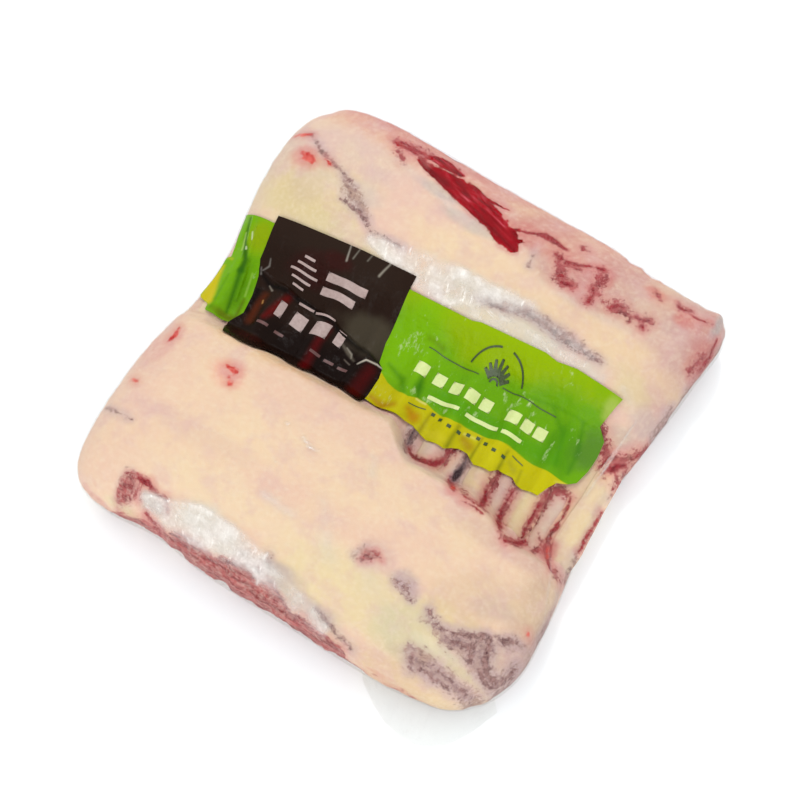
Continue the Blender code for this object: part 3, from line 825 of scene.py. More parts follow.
rib_bed()


# The bared ribs, scraped clean and laid between each other: the back rack's stand a little
# higher and end against the front rack's edge, and the front rack's lie in the dips between
# them. Each grows out of its own rack, and the bag presses them onto the bed.

BACK_RIB_X = RIB_AT_X - RIB_PITCH * np.arange(9)
BACK_RIB_TIPS = (-43.0, -36.5, -30.0, -28.5, -10.0, -14.0, -16.0, -15.0, -14.0)
BACK_RIB_SHADES = (
    (236, 212, 180),
    (
        (28.5, -16, 10, 10, (222, 200, 188), 0.9),
        (55.9, -18, 6, 12, (236, 212, 170), 0.9),
        (56, -30, 10, 6, (222, 190, 180), 0.8),
        (82.2, -20, 5, 18, (234, 214, 168), 0.9),
        (108.5, -10, 4, 30, (238, 214, 172), 0.9),
    ),
)
FRONT_RIB_X = RIB_AT_X - RIB_PITCH * (np.arange(8) + 0.57)
FRONT_RIB_SHADES = ((222, 198, 186), ((40.5, -14, 8, 10, (238, 210, 184), 0.8),))


def bones(name, middles, starts, tips, half_width, half_depth, shades, rows=110, columns=32):
    """A row of bones, each a flattened oval carried along Y, its crest just under the film.

    Across it, the oval is a cosine and a sine to the power 0.8; along it, both sizes fall off
    at the ends by (1 less place to the 9th) to the power 0.5.
    """
    middle, start, tip = (np.array(values)[:, None, None] for values in (middles, starts, tips))
    place = crowd(rows, share=0.8)[None, :, None]
    turn = np.linspace(0.0, 2.0 * math.pi, columns, endpoint=False)[None, None, :]
    y = start + (tip - start) * (place + 1.0) / 2.0 + 0.0 * turn
    size = np.clip(1.0 - np.abs(place) ** 9, 0.0, 1.0) ** 0.5
    swollen = 1.0 + 0.05 * (place + 1.0) + 0.09 * hills(middle + 0.0 * y, y, 12.0, 42)
    oval = [np.abs(wave(turn)) ** 0.8 * np.sign(wave(turn)) for wave in (np.cos, np.sin)]
    x = middle + 0.5 * hills(middle + 0.0 * y, y, 17.0, 41) + half_width * size * swollen * oval[0]
    bared = np.clip(y, lip_y(middle) + LIP_WIDTH / 2, BACK_EDGE_Y - SHOULDER_WIDTH / 2)
    crest = top_height(middle, bared) - FILM_GAP - half_depth
    skin = top_height(x, bared) - FILM_GAP + 0.1
    z = np.minimum(crest + half_depth * size * oval[1], skin)
    z = WIDEST_HEIGHT + (z - WIDEST_HEIGHT) * rim_share(np.clip(reach_of(x, bared)[0], 0.0, AT_RIM))
    number = np.arange(x.size).reshape(x.shape)
    beside = np.roll(number, -1, axis=2)
    faces = quads((number[:, :-1], beside[:, :-1], beside[:, 1:], number[:, 1:])).tolist()
    for bone in number:
        faces += [bone[0, ::-1].tolist(), bone[-1].tolist()]
    if tips[0] > starts[0]:
        faces = [face[::-1] for face in faces]
    tone = blend_tones(x, y, shades[0], shades[1])
    points = np.stack([x, y, z], axis=3)
    piece = make_piece(name, points, faces, LAMB, paint(x, y, RIB_BLOOD), tone)


bones("back_ribs", BACK_RIB_X, [24.0] * 9, BACK_RIB_TIPS, 6.6, 5.0, BACK_RIB_SHADES)
bones("front_ribs", FRONT_RIB_X, lip_y(FRONT_RIB_X) - 3.0, [-1.0] + [14.0] * 7, 4.4, 4.0, FRONT_RIB_SHADES)


# The vacuum bag: clear heavy film shrunk onto everything, so that it shows the fat and meat
# through a few soft pleats and whitish crumples, whose white is partly milk and partly painted
# reflection and painted glints. It is welded along its edges, and replaces the plain solid of the pack.

PLEATS = (  # (path, height)
    ([(104, 40, 0.3), (105, 25, 1.2), (104, 8, 0.8), (103, 0, 0.2)], 0.7),
    ([(98, -26, 0.2), (105, -38, 1.3), (111, -52, 1.4), (117, -66, 0.4)], 0.9),
    ([(44, -36, 0.2), (48, -47, 1.2), (51, -57, 0.3)], 0.5),
    ([(-60, 101, 0.5), (-45, 98, 1.6), (-30, 95, 1.8), (-15, 90, 1.4), (-5, 87, 0.5)], 0.5),
    ([(0, -70, 0.2), (8, -82, 1.2), (14, -92, 0.4)], 0.5),
    ([(-24, -82, 0.3), (-14, -84, 1.1), (-8, -86, 0.3)], 0.5),
    ([(-100, -60, 0.3), (-80, -66, 1), (-55, -70, 0.4)], 0.4),
    ([(20, -112, 0.3), (24, -100, 1), (27, -90, 0.3)], 0.5),
    ([(88, 50, 0.3), (92, 66, 1.1), (99, 80, 0.3)], 0.4),
    ([(-93, 24, 0.4), (-75, 20, 1.2), (-50, 17, 1.4), (-30, 12, 1.2), (-14, 8, 0.4)], 0.9),
    ([(-26, 2, 0.2), (-22, 7, 0.8), (-13, 8, 0.3)], 0.6),
    ([(-103, 40, 0.3), (-100, 24, 1.2), (-95, 4, 0.8)], 1),
    ([(-108, 44, 0.2), (-105, 34, 0.9), (-103, 24, 0.3)], 0.7),
    ([(58, 100, 0.3), (68, 92, 1), (84, 94, 0.3)], 0.4),
)
# Whitish stains of the film: crumpled milky bands that are partly painted reflection, small painted glints,
# and painted highlights along creases.
HAZES_AND_GLINTS = (  # (path, blur, share)
    ([(-48, 57, 3), (-22, 55.5, 9), (0, 55.4, 10.5), (12, 57.4, 8.6), (24, 62.6, 4),
      (40, 65, 2)], 3.6, 1),
    ([(12, 50.2, 5), (40, 50.4, 5), (64, 50, 4), (84, 49.8, 3)], 2.6, 0.8),
    ([(96, 50, 2), (106, 44, 3)], 3, 0.5),
    ([(18, 56, 2), (39, 60.4, 3), (58, 57.6, 3), (76, 56, 1.4)], 2, 0.62),
    ([(-60, 101, 1), (-45, 97, 2), (-30, 93.5, 2.4), (-15, 88, 2.4), (-5, 85, 1)], 2.4, 0.6),
    ([(-76, -109, 2), (-66, -110.4, 5), (-46, -109, 8.8), (-30, -109.6, 8), (-14, -110.6, 5.4)], 2.4, 1),
    ([(-12, -112, 5), (0, -114.4, 5), (15, -117.6, 4.6), (30, -121, 2.8)], 2.4, 0.8),
    ([(-24.6, -47.6, 0.3), (-22, -50, 0.8), (-18, -51.6, 0.6), (-13, -51, 0.4)], 0.8, 0.9),
    ([(-30, -64, 0.2), (-28.6, -66.4, 0.6)], 0.8, 0.8),
    ([(-35, -46, 0.2), (-33.4, -47, 0.6)], 0.7, 0.9),
    ([(-9, -106, 0.8), (-8, -118, 1.2)], 0.8, 1),
    ([(0, -70, 2), (8, -82, 5), (18, -95, 4)], 5, 0.5),
    ([(10, -40, 1.5), (14, -48, 2)], 3, 0.6),
    ([(-25, -83, 2), (-8, -85, 2)], 3, 0.6),
    ([(-72, 45, 1), (-60, 80, 3)], 6, 0.3),
    ([(30, -88, 3), (45, -98, 6), (60, -108, 5)], 7, 0.35),
    ([(36, 78, 2), (60, 75, 2), (84, 76, 2)], 3, 0.45),
    ([(75, 92, 6), (100, 88, 6)], 8, 0.3),
    ([(-80, 95, 8), (-60, 85, 8)], 10, 0.25),
    ([(108, 42, 0.2), (106.4, 28, 0.5), (105.6, 18, 0.5), (104, 0, 0.3)], 0.7, 0.9),
    ([(106, 34, 0.1), (104.8, 22, 0.4), (104, 14, 0.2)], 0.5, 0.8),
    ([(98, -26, 0.1), (105, -38, 0.3), (111, -52, 0.4), (117, -66, 0.1)], 0.6, 0.7),
)


def pleats(x, y):
    """Height of the film over what it is shrunk onto: a low ridge along each pleat, and crumples."""
    ridges = sum(height * ease(-0.9, 1.2, stroke(x, y, path)) for path, height in PLEATS)
    fold = 1.0 - np.abs(rough(x + 0.4 * y, 0.35 * y - 0.2 * x, 11.0, 51, 3))
    return ridges + 0.22 * np.clip(fold, 0.0, 1.0) ** 3


def whitened(x, y, places):
    """How whitish a film is, 0 to 1, crumpled or painted with highlights and glints: the strongest of its
    soft stains, (path, blur, share).
    """
    return np.max([share * soft(x, y, path, blur) for path, blur, share in places], axis=0)


def cloud_and_glints(x, y):
    """How whitish the clear film is, from 0 to 1: milky where it has crumpled and no longer clings, and
    partly painted reflection and painted glints.
    """
    return np.clip(whitened(x, y, HAZES_AND_GLINTS) * (1.0 + 0.25 * rough(x, y, 9.0, 61)), 0.0, 1.0)


def bag_skin(x, y, reach, lift):
    """The bag's upper side: the pack's form, swollen as the racks are, with its pleats and a lift."""
    z = WIDEST_HEIGHT + (top_height(x, y) - WIDEST_HEIGHT) * rim_share(reach)
    points = np.stack([x, y, z], axis=2)
    out = (swell(points) + pleats(x, y) + lift) * (1.0 - reach**60)
    return points + facing_normals(points) * out[..., None]


def film_material():
    """Clear glossy film: it mirrors a little of the light, and is milky where it is crumpled.

    Over the haze lies a soft white, partly milk and partly painted reflection, and crisp white flecks across
    and along it that are painted glints.
    """
    made, tree, where = new_material("clear_film")
    haze_and_sheen = stored(tree, "haze_and_sheen")
    across = grain(tree, where, 1.0, 7.0, 0.74, stretch=(440.0, 110.0, 260.0), turn=0.25)
    along = grain(tree, where, 1.0, 7.0, 0.74, stretch=(110.0, 420.0, 260.0), turn=-0.3)
    crumple = grain(tree, where, 160.0, 6.0, 0.62)
    cloud = grain(tree, where, 70.0, 6.0, 0.65)
    # Crisp white flecks and streaks: painted glints of the crumpled film.
    flecks = contrast(tree, maths(tree, "MULTIPLY_ADD", haze_and_sheen, 0.22, across), 0.70, 0.92, 0.9)
    streaks = contrast(tree, maths(tree, "MULTIPLY_ADD", haze_and_sheen, 0.20, along), 0.70, 0.92, 0.8)
    painted_glints = maths(tree, "MAXIMUM", flecks, streaks)
    # A soft white over the haze, partly milk and partly painted reflection.
    veil = maths(tree, "MULTIPLY", contrast(tree, cloud, 0.22, 0.62, 0.74), maths(tree, "POWER", haze_and_sheen, 1.6))
    milk_and_sheen = maths(tree, "MAXIMUM", painted_glints, veil)
    height = maths(tree, "ADD", maths(tree, "MULTIPLY_ADD", across, 0.5, crumple), along)
    relief = maths(tree, "MULTIPLY", height, maths(tree, "MULTIPLY_ADD", haze_and_sheen, 0.9, 0.35))
    bump = bumped(tree, relief, 0.8, 0.003)
    clear = node(tree, "ShaderNodeBsdfTransparent", {"Color": (0.99, 0.99, 0.985, 1.0)})
    blurred = maths(tree, "MULTIPLY_ADD", haze_and_sheen, 0.22, 0.14)
    gloss = node(tree, "ShaderNodeBsdfAnisotropic", {"Roughness": blurred, "Normal": bump})
    mirror = node(tree, "ShaderNodeFresnel", {"IOR": 1.5, "Normal": bump})
    shine = maths(tree, "MULTIPLY", mirror.outputs[0], 0.2)
    film = node(tree, "ShaderNodeMixShader", (shine, clear.outputs[0], gloss.outputs[0]))
    white = mixed(tree, painted_glints, (0.72, 0.69, 0.65), (0.99, 0.98, 0.95))
    folds = bumped(tree, height, 0.5, 0.0008)
    milk_and_glints = node(tree, "ShaderNodeBsdfDiffuse", {"Color": white, "Normal": folds})
    return surfaced(made, "ShaderNodeMixShader", (milk_and_sheen, film.outputs[0], milk_and_glints.outputs[0]))


def vacuum_bag(count=220):
    """The bag as one closed skin: its upper side, and an underside flat on the table."""
    along, across = grid(crowd(count), crowd(count))
    x, y = outline(along, across)
    reach = np.maximum(np.abs(along), np.abs(across))
    top = bag_skin(x, y, reach, 0.0)
    under = np.stack([x, y, under_height(reach)], axis=2)
    points, faces = closed_form(top, under)
    haze_and_sheen = joined(cloud_and_glints(x, y), 0.0 * x)
    piece = make_piece("clear_bag", points, faces, FILM, {"haze_and_sheen": haze_and_sheen})
    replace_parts(piece, "vacuum_bag")


FILM = film_material()
vacuum_bag()


# The printed band, a strip of the bag's own film printed all over on the inside: one dark
# panel, and a green one that turns yellow along its lower edge. Beyond the dark panel a
# folded green end of it wraps round the pack. Its tones carry painted shade in the film's
# folds and painted highlights on its creases.

SHARED_EDGE = (  # (Y, X) of an end, and (X, Y) of a lower or upper edge
    (-13, -13), (3, -12.5), (8, -13.5), (10, -16.5), (20, -18.5), (52, -19),
)
GREEN_END = (
    (-12, 84), (-6, 86), (-1, 88.5), (1, 93.5), (4, 97), (12, 99), (20, 99.5), (28, 99), (32, 94),
    (46, 98),
)
GREEN_LOWER = (
    (-13, -10), (-3, -11), (8, -10), (14, -10), (20, -12.5), (24, -13.8), (33, -13.8), (36, -11),
    (39, -9.5), (44, -9.5), (47, -11.5), (50, -13.3), (58, -13.3), (61, -9.8), (69, -9.3), (72, -11.5),
    (76, -12.6), (100, -12),
)
GREEN_UPPER = ((-19, 44.5), (16, 45), (20, 46.2), (55, 47.6), (62, 46.4), (72, 47.8), (98, 46))
DARK_END = (
    (-18, -88), (-13, -91), (-8, -92), (-4, -90), (0, -88), (10, -89), (20, -91.5), (28, -95),
    (47, -95.3),
)
DARK_LOWER = (
    (-92, -18), (-88, -18.2), (-78, -18.8), (-70, -18), (-64, -15.2), (-58, -14), (-50, -15.8),
    (-45, -15), (-40, -12.2), (-30, -12.4), (-24, -13.8), (-13, -14.6),
)
DARK_UPPER = ((-95, 47.5), (-70, 49), (-50, 50.3), (-19, 51.2))
WING_END = (
    (-9.5, -100), (-8, -105), (-4.5, -105.5), (-2, -112), (0, -113.4), (10, -111.5), (23, -111.8),
    (24, -109.5), (35, -112), (44, -113.2),
)
WING_LOWER = ((-114, -9), (-104, -9.5), (-96, -9), (-92, -8), (-84, -8))
WING_UPPER = ((-114, 44.8), (-92, 43.5))
BORDER = (  # where green turns yellow
    (-14, 7), (-8, 3.5), (0, 1), (5, 1), (9, 3.3), (14, 3.4), (19, 1.8), (25, 0.6), (31, 0.6), (34, 1.6),
    (50, 2.2), (60, 3.4), (64, 3.2), (70, 1.8), (80, 0.8), (90, 1), (100, 1.5),
)
GREEN_LIFT, DARK_LIFT, WING_LIFT = 0.30, 0.34, 0.16  # of the three panels off the bag
PANEL_THICKNESS = 0.12


def read_off(points, value):
    """A line of (place, height) points, read off at any place with straight runs between them."""
    places, heights = zip(*points)
    return np.interp(value, places, heights)


def panel_places(left, right, lower, upper, rows, columns):
    """A grid of places within four edges, each edge a line of points."""
    u, v = grid(np.linspace(0.0, 1.0, rows), np.linspace(0.0, 1.0, columns))
    ends = []
    for end, corner in ((left, 0), (right, -1)):
        low, high = lower[corner][1], upper[corner][1]
        ends.append(read_off(end, low + (high - low) * v) if isinstance(end, tuple) else end)
    x = ends[0] + (ends[1] - ends[0]) * u
    return x, read_off(lower, x) + (read_off(upper, x) - read_off(lower, x)) * v


def laid_on_bag(x, y, lift, thickness):
    """A thin closed sheet over the given places, lifted off the bag."""
    reach = np.clip(np.maximum(*reach_of(x, y)), 0.0, AT_RIM)
    return closed_form(bag_skin(x, y, reach, lift + thickness), bag_skin(x, y, reach, lift))


def print_material():
    """Printed glossy film: its own tones, whitened in fine streaks where it is crumpled, as painted
    highlights.
    """
    made, tree, where = new_material("printed_film")
    streaks = grain(tree, where, 1.0, 6.0, 0.7, stretch=(420.0, 150.0, 300.0))
    crumple = grain(tree, where, 220.0, 4.0, 0.6)
    # Painted highlights: the print whitened to pale green in fine streaks where the film is crumpled.
    milk_and_sheen = contrast(tree, maths(tree, "MULTIPLY_ADD", stored(tree, "haze_and_sheen"), 0.24, streaks), 0.68, 0.88, 0.8)
    height = maths(tree, "MULTIPLY_ADD", streaks, 0.5, crumple)
    return surfaced(made, "ShaderNodeBsdfPrincipled", {
        "Base Color": mixed(tree, milk_and_sheen, stored(tree, "tone", "Color"), linear(214, 230, 176)),
        "Roughness": 0.2,
        "Specular IOR Level": 0.05,
        "Normal": bumped(tree, height, 0.5, 0.0012),
    })


def film_tone(x, y, base, tints, folds):
    """A base colour under soft tints, and over them soft strokes, (path, blur, colour, share): stripes,
    painted shade in folds and painted highlights.
    """
    tone = blend_tones(x, y, base, tints)
    for path, blur, colour, share in folds:
        tone = tone + (share * soft(x, y, path, blur))[..., None] * (linear(*colour) - tone)
    return tone


def printed_panel(name, x, y, lift, tone, haze_and_sheen):
    """A panel of the band, with its colours stored on its points."""
    points, faces = laid_on_bag(x, y, lift, PANEL_THICKNESS)
    fields = {"haze_and_sheen": joined(haze_and_sheen, haze_and_sheen)}
    piece = make_piece(name, points, faces, PRINTED_FILM, fields, joined(tone, tone), thin=True)
    return piece


PRINTED_FILM = print_material()
x, y = panel_places(SHARED_EDGE, GREEN_END, GREEN_LOWER, GREEN_UPPER, 300, 150)
green = film_tone(x, y, (110, 168, 16), (
    (38, 44, 90, 12, (146, 180, 2), 1),
    (-6, 24, 16, 26, (126, 184, 10), 0.9),
    (84, 16, 12, 16, (88, 150, 16), 0.8),
    (94, 20, 9, 14, (92, 136, 48), 0.85),
    (95, 40, 5, 7, (170, 192, 90), 0.8),
    (45, 8, 44, 6, (90, 158, 12), 0.7),
), (
    # The four dark green strokes first are painted shade in the film's folds.
    ([(6, 14, 0.6), (7, 8, 1.6), (9, 4, 0.6)], 2.2, (44, 112, 8), 0.8),
    ([(-12, 12, 0.5), (-2, 8, 1.4), (2, 2, 0.6)], 2, (60, 124, 8), 0.6),
    ([(70, 30, 0.4), (80, 22, 0.8), (84, 6, 0.4)], 2.4, (66, 134, 12), 0.6),
    ([(86, 30, 0.4), (90, 18, 1.2), (91, 6, 0.4)], 1.8, (60, 124, 20), 0.6),
    ([(0, 31, 0.6), (8, 30, 1.2)], 2, (100, 130, 0), 0.6),
    ([(52, 28, 0.3), (70, 31, 0.5), (92, 30, 0.3)], 1.4, (90, 150, 10), 0.7),
))
yellow = film_tone(x, y, (196, 190, 14), (
    (26, -10, 8, 4, (206, 198, 40), 0.7),
    (54, -8, 6, 6, (204, 198, 24), 0.7),
), (
    ([(8, -4, 1), (12, -6, 3)], 2.6, (190, 140, 10), 0.95),
    ([(1, -6, 1), (-4, -9, 2), (-11, -7, 1)], 2.2, (178, 132, 20), 0.85),
    # The thin dark olive strokes down the yellow at X 18.6, 33.7, 46.7, 60.7 and 72 are painted shade of the
    # gaps between the ribs.
    ([(18.6, 0, 0.3), (18.2, -12, 1)], 1.6, (140, 128, 16), 0.75),
    ([(33.6, 0, 0.6), (33.8, -12, 1)], 1.4, (128, 132, 14), 0.8),
    ([(39, -4, 2), (43, -6, 2.4)], 2.2, (172, 142, 22), 0.8),
    ([(46.8, 1, 0.3), (46.6, -11, 0.8)], 1.2, (126, 126, 10), 0.8),
    ([(60.6, 1, 0.4), (60.8, -10, 0.8)], 1.2, (134, 136, 20), 0.8),
    ([(64, -3, 1), (68, -6, 1.4)], 1.8, (166, 160, 40), 0.6),
    ([(71, -4, 0.4), (72, -11, 0.6)], 1.2, (150, 146, 20), 0.7),
    # The three pale strokes are painted highlights on creases of the film.
    ([(9, 2.6, 0.3), (14, 2.8, 0.3)], 0.7, (232, 232, 150), 0.8),
    ([(38, -1.5, 0.5), (44, -1, 0.5)], 1, (228, 224, 110), 0.7),
    ([(88, -1, 0.5), (94, 1, 0.5)], 1, (214, 206, 90), 0.7),
))
tone = yellow + (green - yellow) * ease(-0.25, 0.25, y - read_off(BORDER, x))[..., None]
# Painted highlights: where the crumpled film is whitened in streaks.
crumples_and_highlights = whitened(x, y, (
    ([(2, 26, 3), (-8, 28, 5), (-14, 20, 4)], 5, 0.7),
    ([(0, 14, 3), (10, 22, 2), (18, 10, 2)], 5, 0.6),
    ([(52, 22, 1.5), (56, 29, 2.5), (64, 20, 2), (62, 8, 2)], 4, 0.95),
    ([(76, 18, 1.5), (78, 6, 2)], 4, 0.85),
    ([(84, 26, 1.5), (90, 18, 3)], 4, 0.8),
    ([(20, 24, 3), (34, 22, 2)], 5, 0.5),
    ([(30, 8, 4), (50, 12, 3)], 5, 0.6),
    ([(68, 44, 3), (80, 38, 2)], 5, 0.6),
    ([(-14, 44, 0.4), (-4, 36, 0.8), (4, 32, 0.6)], 1.6, 0.9),
    ([(0, 4, 1), (16, 5, 1.6), (30, 3, 1)], 2.4, 0.8),
    ([(44, 26, 1), (50, 20, 1.4), (58, 14, 1)], 2.4, 0.9),
    ([(70, 26, 0.6), (72, 16, 1.2), (70, 6, 0.6)], 2, 0.9),
    ([(-10, -4, 3), (-2, -6, 3)], 4, 0.8),
))
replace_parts(printed_panel("green_panel", x, y, GREEN_LIFT, tone, crumples_and_highlights), "printed_band")

x, y = panel_places(DARK_END, SHARED_EDGE, DARK_LOWER, DARK_UPPER, 230, 180)
tone = film_tone(x, y, (42, 26, 18), (
    (-55, 46, 60, 12, (48, 34, 26), 0.9),
    (-55, -4, 60, 16, (24, 10, 6), 0.95),
    # Painted sheen: a grey-olive reflection on the film.
    (-32, 20, 20, 9, (76, 68, 54), 0.9),
    (-68, 32, 14, 8, (54, 16, 14), 0.7),
    (-56, 41, 8, 4, (60, 18, 16), 0.7),
    (-78, -12, 12, 5, (56, 18, 14), 0.7),
), (
    ([(-83, 13, 1.4), (-84, 6, 2), (-83, -2, 2.2)], 2.4, (92, 38, 10), 0.85),
    ([(-72, 18, 1.2), (-74, 10, 1.6), (-77, 2, 1)], 2.2, (104, 8, 8), 0.9),
    ([(-47, 13, 1.6), (-47.5, 4, 1.4), (-46.5, -12, 1.8)], 2.2, (92, 8, 12), 0.9),
    ([(-18, 4, 2.4), (-19, -10, 3)], 3, (84, 8, 10), 0.85),
    # The two near-black strokes are painted shade in creases of the film.
    ([(-94, 24, 0.4), (-84, 19, 1.2), (-62, 19, 1.2), (-40, 14, 1.2),
      (-18, 9, 0.6)], 1.8, (4, 2, 2), 0.9),
    ([(-88, 14, 1.2), (-87, 2, 1.2)], 1.8, (6, 3, 2), 0.9),
    # The grey and silver strokes that follow, all but the orange one, are painted highlights on the film's
    # creases.
    ([(-38, 10, 0.4), (-32, 7, 1), (-27, 4, 0.3)], 0.9, (112, 104, 92), 0.7),
    ([(-60, 17, 0.4), (-52, 14, 1)], 1.2, (58, 52, 46), 0.6),
    ([(-55, 50, 0.2), (-53.5, 43, 0.4)], 0.5, (178, 172, 160), 0.7),
    ([(-50, 51, 0.2), (-51, 45, 0.3)], 0.5, (150, 146, 134), 0.6),
    ([(-43, 51, 0.2), (-44, 47, 0.3)], 0.5, (150, 146, 134), 0.5),
    ([(-33, 51, 0.3), (-35.5, 43.5, 0.5)], 0.6, (168, 162, 148), 0.7),
    ([(-90, 30, 0.2), (-89, 27, 0.4), (-91, 24, 0.2)], 0.5, (140, 136, 130), 0.7),
    ([(-92.5, 25, 0.2), (-91, 22, 0.4)], 0.5, (130, 126, 120), 0.7),
    ([(-84, 18.5, 0.2), (-81, 16.5, 0.4)], 0.5, (150, 142, 130), 0.8),
    ([(-82.5, 10, 0.3), (-82, 8.6, 0.4)], 0.5, (200, 150, 90), 0.8),
    ([(-24.5, 3, 0.1), (-22, 7, 0.35), (-17, 8.3, 0.35), (-12, 8, 0.2)], 0.4, (206, 198, 184), 0.95),
    ([(-34, 9, 0.2), (-30, 7, 0.4), (-29, 5, 0.2)], 0.5, (170, 164, 150), 0.7),
    ([(-32, 3, 0.2), (-28, 1.5, 0.3)], 0.4, (130, 120, 110), 0.7),
))
# Painted highlights: grey streaks near the dark panel's upper edge.
crumples_and_highlights = whitened(x, y, (
    ([(-53, 50, 1), (-50, 44, 1)], 2, 0.5),
    ([(-36, 50, 1), (-34, 44, 1)], 2, 0.5),
))
printed_panel("dark_panel", x, y, DARK_LIFT, tone, crumples_and_highlights * 0.8 - 0.35)

x, y = panel_places(WING_END, -84.0, WING_LOWER, WING_UPPER, 110, 130)
tone = film_tone(x, y, (116, 172, 10), (
    (-100, 38, 8, 8, (142, 166, 4), 0.9),
    (-96, 6, 8, 16, (92, 146, 8), 0.8),
    # Painted shade: darker olive along the wing's lower edge.
    (-96, -6, 10, 3.5, (104, 116, 10), 0.8),
    (-114, 40, 3, 8, (128, 164, 70), 0.8),
), (
    ([(-110.5, 18, 0.5), (-110, 8, 2.4), (-109, 0, 4), (-106, -3, 2)], 1.6, (206, 190, 12), 0.95),
    ([(-111, 23, 0.4), (-108, 22.5, 0.6)], 1, (178, 186, 30), 0.8),
    # The three dark green strokes are painted shade in the wing's folds.
    ([(-109.5, 43, 0.4), (-107, 34, 0.8), (-101, 24, 1.4), (-100.5, 18, 1.6)], 1.2, (38, 92, 8), 0.85),
    ([(-100.5, 18, 1.4), (-98, 8, 0.8), (-95.5, -4, 0.7)], 1.3, (48, 104, 8), 0.8),
    ([(-105, 14, 0.3), (-104, 4, 0.6), (-103, -6, 0.3)], 1.2, (84, 138, 8), 0.6),
    ([(-91.5, 6, 0.4), (-90, -6, 0.8)], 1.4, (90, 84, 14), 0.7),
    # The four pale strokes are painted highlights on the wing's creases.
    ([(-104.5, 37, 0.2), (-103, 34, 0.3)], 0.4, (226, 236, 200), 0.8),
    ([(-104, 30, 0.2), (-103.5, 29, 0.3)], 0.4, (226, 236, 200), 0.8),
    ([(-108, 36, 0.3), (-105.5, 28, 0.4)], 0.5, (176, 206, 110), 0.7),
    ([(-95, 20, 0.3), (-92, 8, 0.4)], 0.7, (160, 200, 90), 0.6),
))
# Painted highlights along the wing's crumples.
crumples_and_highlights = whitened(x, y, (
    ([(-103, 30, 1), (-99, 20, 1)], 2, 0.4),
    ([(-94, 30, 1), (-91, 10, 1)], 3, 0.5),
))
printed_panel("green_wing", x, y, WING_LIFT, tone, crumples_and_highlights)


# What is printed on the band: plain bars, a striped lozenge and a half sun, in cream on the
# dark and green panels and in dark ink on the green and yellow ones. The ink lies on the film.

INK_LIFT, INK_THICKNESS = 0.52, 0.08
WEAR = 0.8  # the most of the worn colour that shows
SUN = 38.0, 27.0
ACROSS = (-0.5, 0.0, 0.5)  # places across a narrow shape


def bar(x, y, width, height, lean=0.0):
    """A bar's grid of places: centre, size, and how much it rises along its length."""
    u, v = grid(np.linspace(-0.5, 0.5, 2 + int(width / 1.5)), np.linspace(-0.5, 0.5, 5))
    return x + width * u, y + height * v + lean * u


def ring(x, y, radius, width, start, end):
    """An arc's grid of places, from one angle to another in degrees."""
    steps = max(3, int(radius * math.radians(end - start) / 1.2))
    turn, out = grid(np.radians(np.linspace(end, start, steps)), ACROSS)
    return x + (radius + width * out) * np.cos(turn), y + (radius + width * out) * np.sin(turn)


def ray(x, y, inner, outer, angle, width):
    """A sun ray's grid of places, narrower at its outer end."""
    u, v = grid(np.linspace(inner, outer, 6), ACROSS)
    side = width * v * (1.3 - 0.6 * (u - inner) / (outer - inner))
    turn = math.radians(angle)
    return x + u * math.cos(turn) - side * math.sin(turn), y + u * math.sin(turn) + side * math.cos(turn)


def ink_material(name, fresh, worn):
    """Ink on film: one colour, a little worn in a fine random mottle."""
    made, tree, where = new_material(name)
    wear = grain(tree, where, 520.0, 4.0, 0.7)
    return surfaced(made, "ShaderNodeBsdfPrincipled", {
        "Base Color": mixed(tree, maths(tree, "MULTIPLY", wear, WEAR), linear(*fresh), linear(*worn)),
        "Roughness": 0.35,
        "Normal": bumped(tree, wear, 0.4, 0.0008),
    })


def inked(name, fresh, worn, shapes):
    """One piece of all the shapes printed in one ink, with its fresh and worn colours."""
    points, faces, used = [], [], 0
    for x, y in shapes:
        shape_points, shape_faces = laid_on_bag(x, y, INK_LIFT, INK_THICKNESS)
        points.append(shape_points)
        faces.append(shape_faces + used)
        used += len(shape_points)
    ink = ink_material(name, fresh, worn)
    make_piece(name, np.concatenate(points), np.concatenate(faces), ink, thin=True)


inked("cream_print", (232, 240, 176), (188, 216, 110), [
    *[bar(x, 16.8, 6.0, 6.4) for x in (4.0, 14.0, 23.5, 32.0, 40.0, 55.0, 62.5, 70.0)],
    bar(21.5, 7.0, 17.0, 2.2, 0.6),
    bar(42.5, 7.6, 18.0, 2.2, 0.6),
    bar(58.5, 8.2, 10.0, 2.2, 0.4),
])
inked("dark_print", (38, 58, 6), (66, 96, 10), [
    bar(16.0, 27.3, 28.0, 0.45, -0.4),
    bar(58.0, 27.4, 30.0, 0.45, -0.2),
    *[ray(*SUN, 3.0, 10.5 - abs(angle - 90) / 22.0, angle, 1.8) for angle in range(30, 151, 20)],
    ring(*SUN, 14.6, 0.9, 14, 78),
    ring(*SUN, 14.6, 0.9, 102, 166),
    ring(*SUN, 2.2, 1.0, 0, 180),
    bar(11.0, -0.6, 9.0, 0.5, 2.0),
    bar(67.0, -0.6, 7.0, 0.5, -2.0),
    *[bar(x, -1.6 + 1.4 * math.sin((x - 12.0) / 26.3 * 2.0 * math.pi), 2.0, 1.7) for x in range(20, 65, 5)],
])
inked("pale_print", (206, 184, 178), (120, 96, 92), [
    *[bar(-71.0, 30.6 + 3.2 * step, 15.0 - 4.6 * abs(step), 1.1) for step in range(-2, 3)],
    bar(-48.5, 34.6, 22.0, 3.6, 0.6),
    bar(-50.5, 28.4, 18.0, 3.6, 0.5),
    bar(-62.0, 17.6, 9.0, 1.2, -0.4),
    bar(-51.0, 17.2, 10.0, 1.2, 0.3),
    bar(-72.5, 9.5, 3.4, 8.5),
    bar(-61.5, 9.0, 7.5, 8.0, -1.0),
    bar(-49.5, 10.0, 7.5, 8.0, 1.2),
    bar(-39.5, 11.0, 5.0, 7.5, -1.0),
])
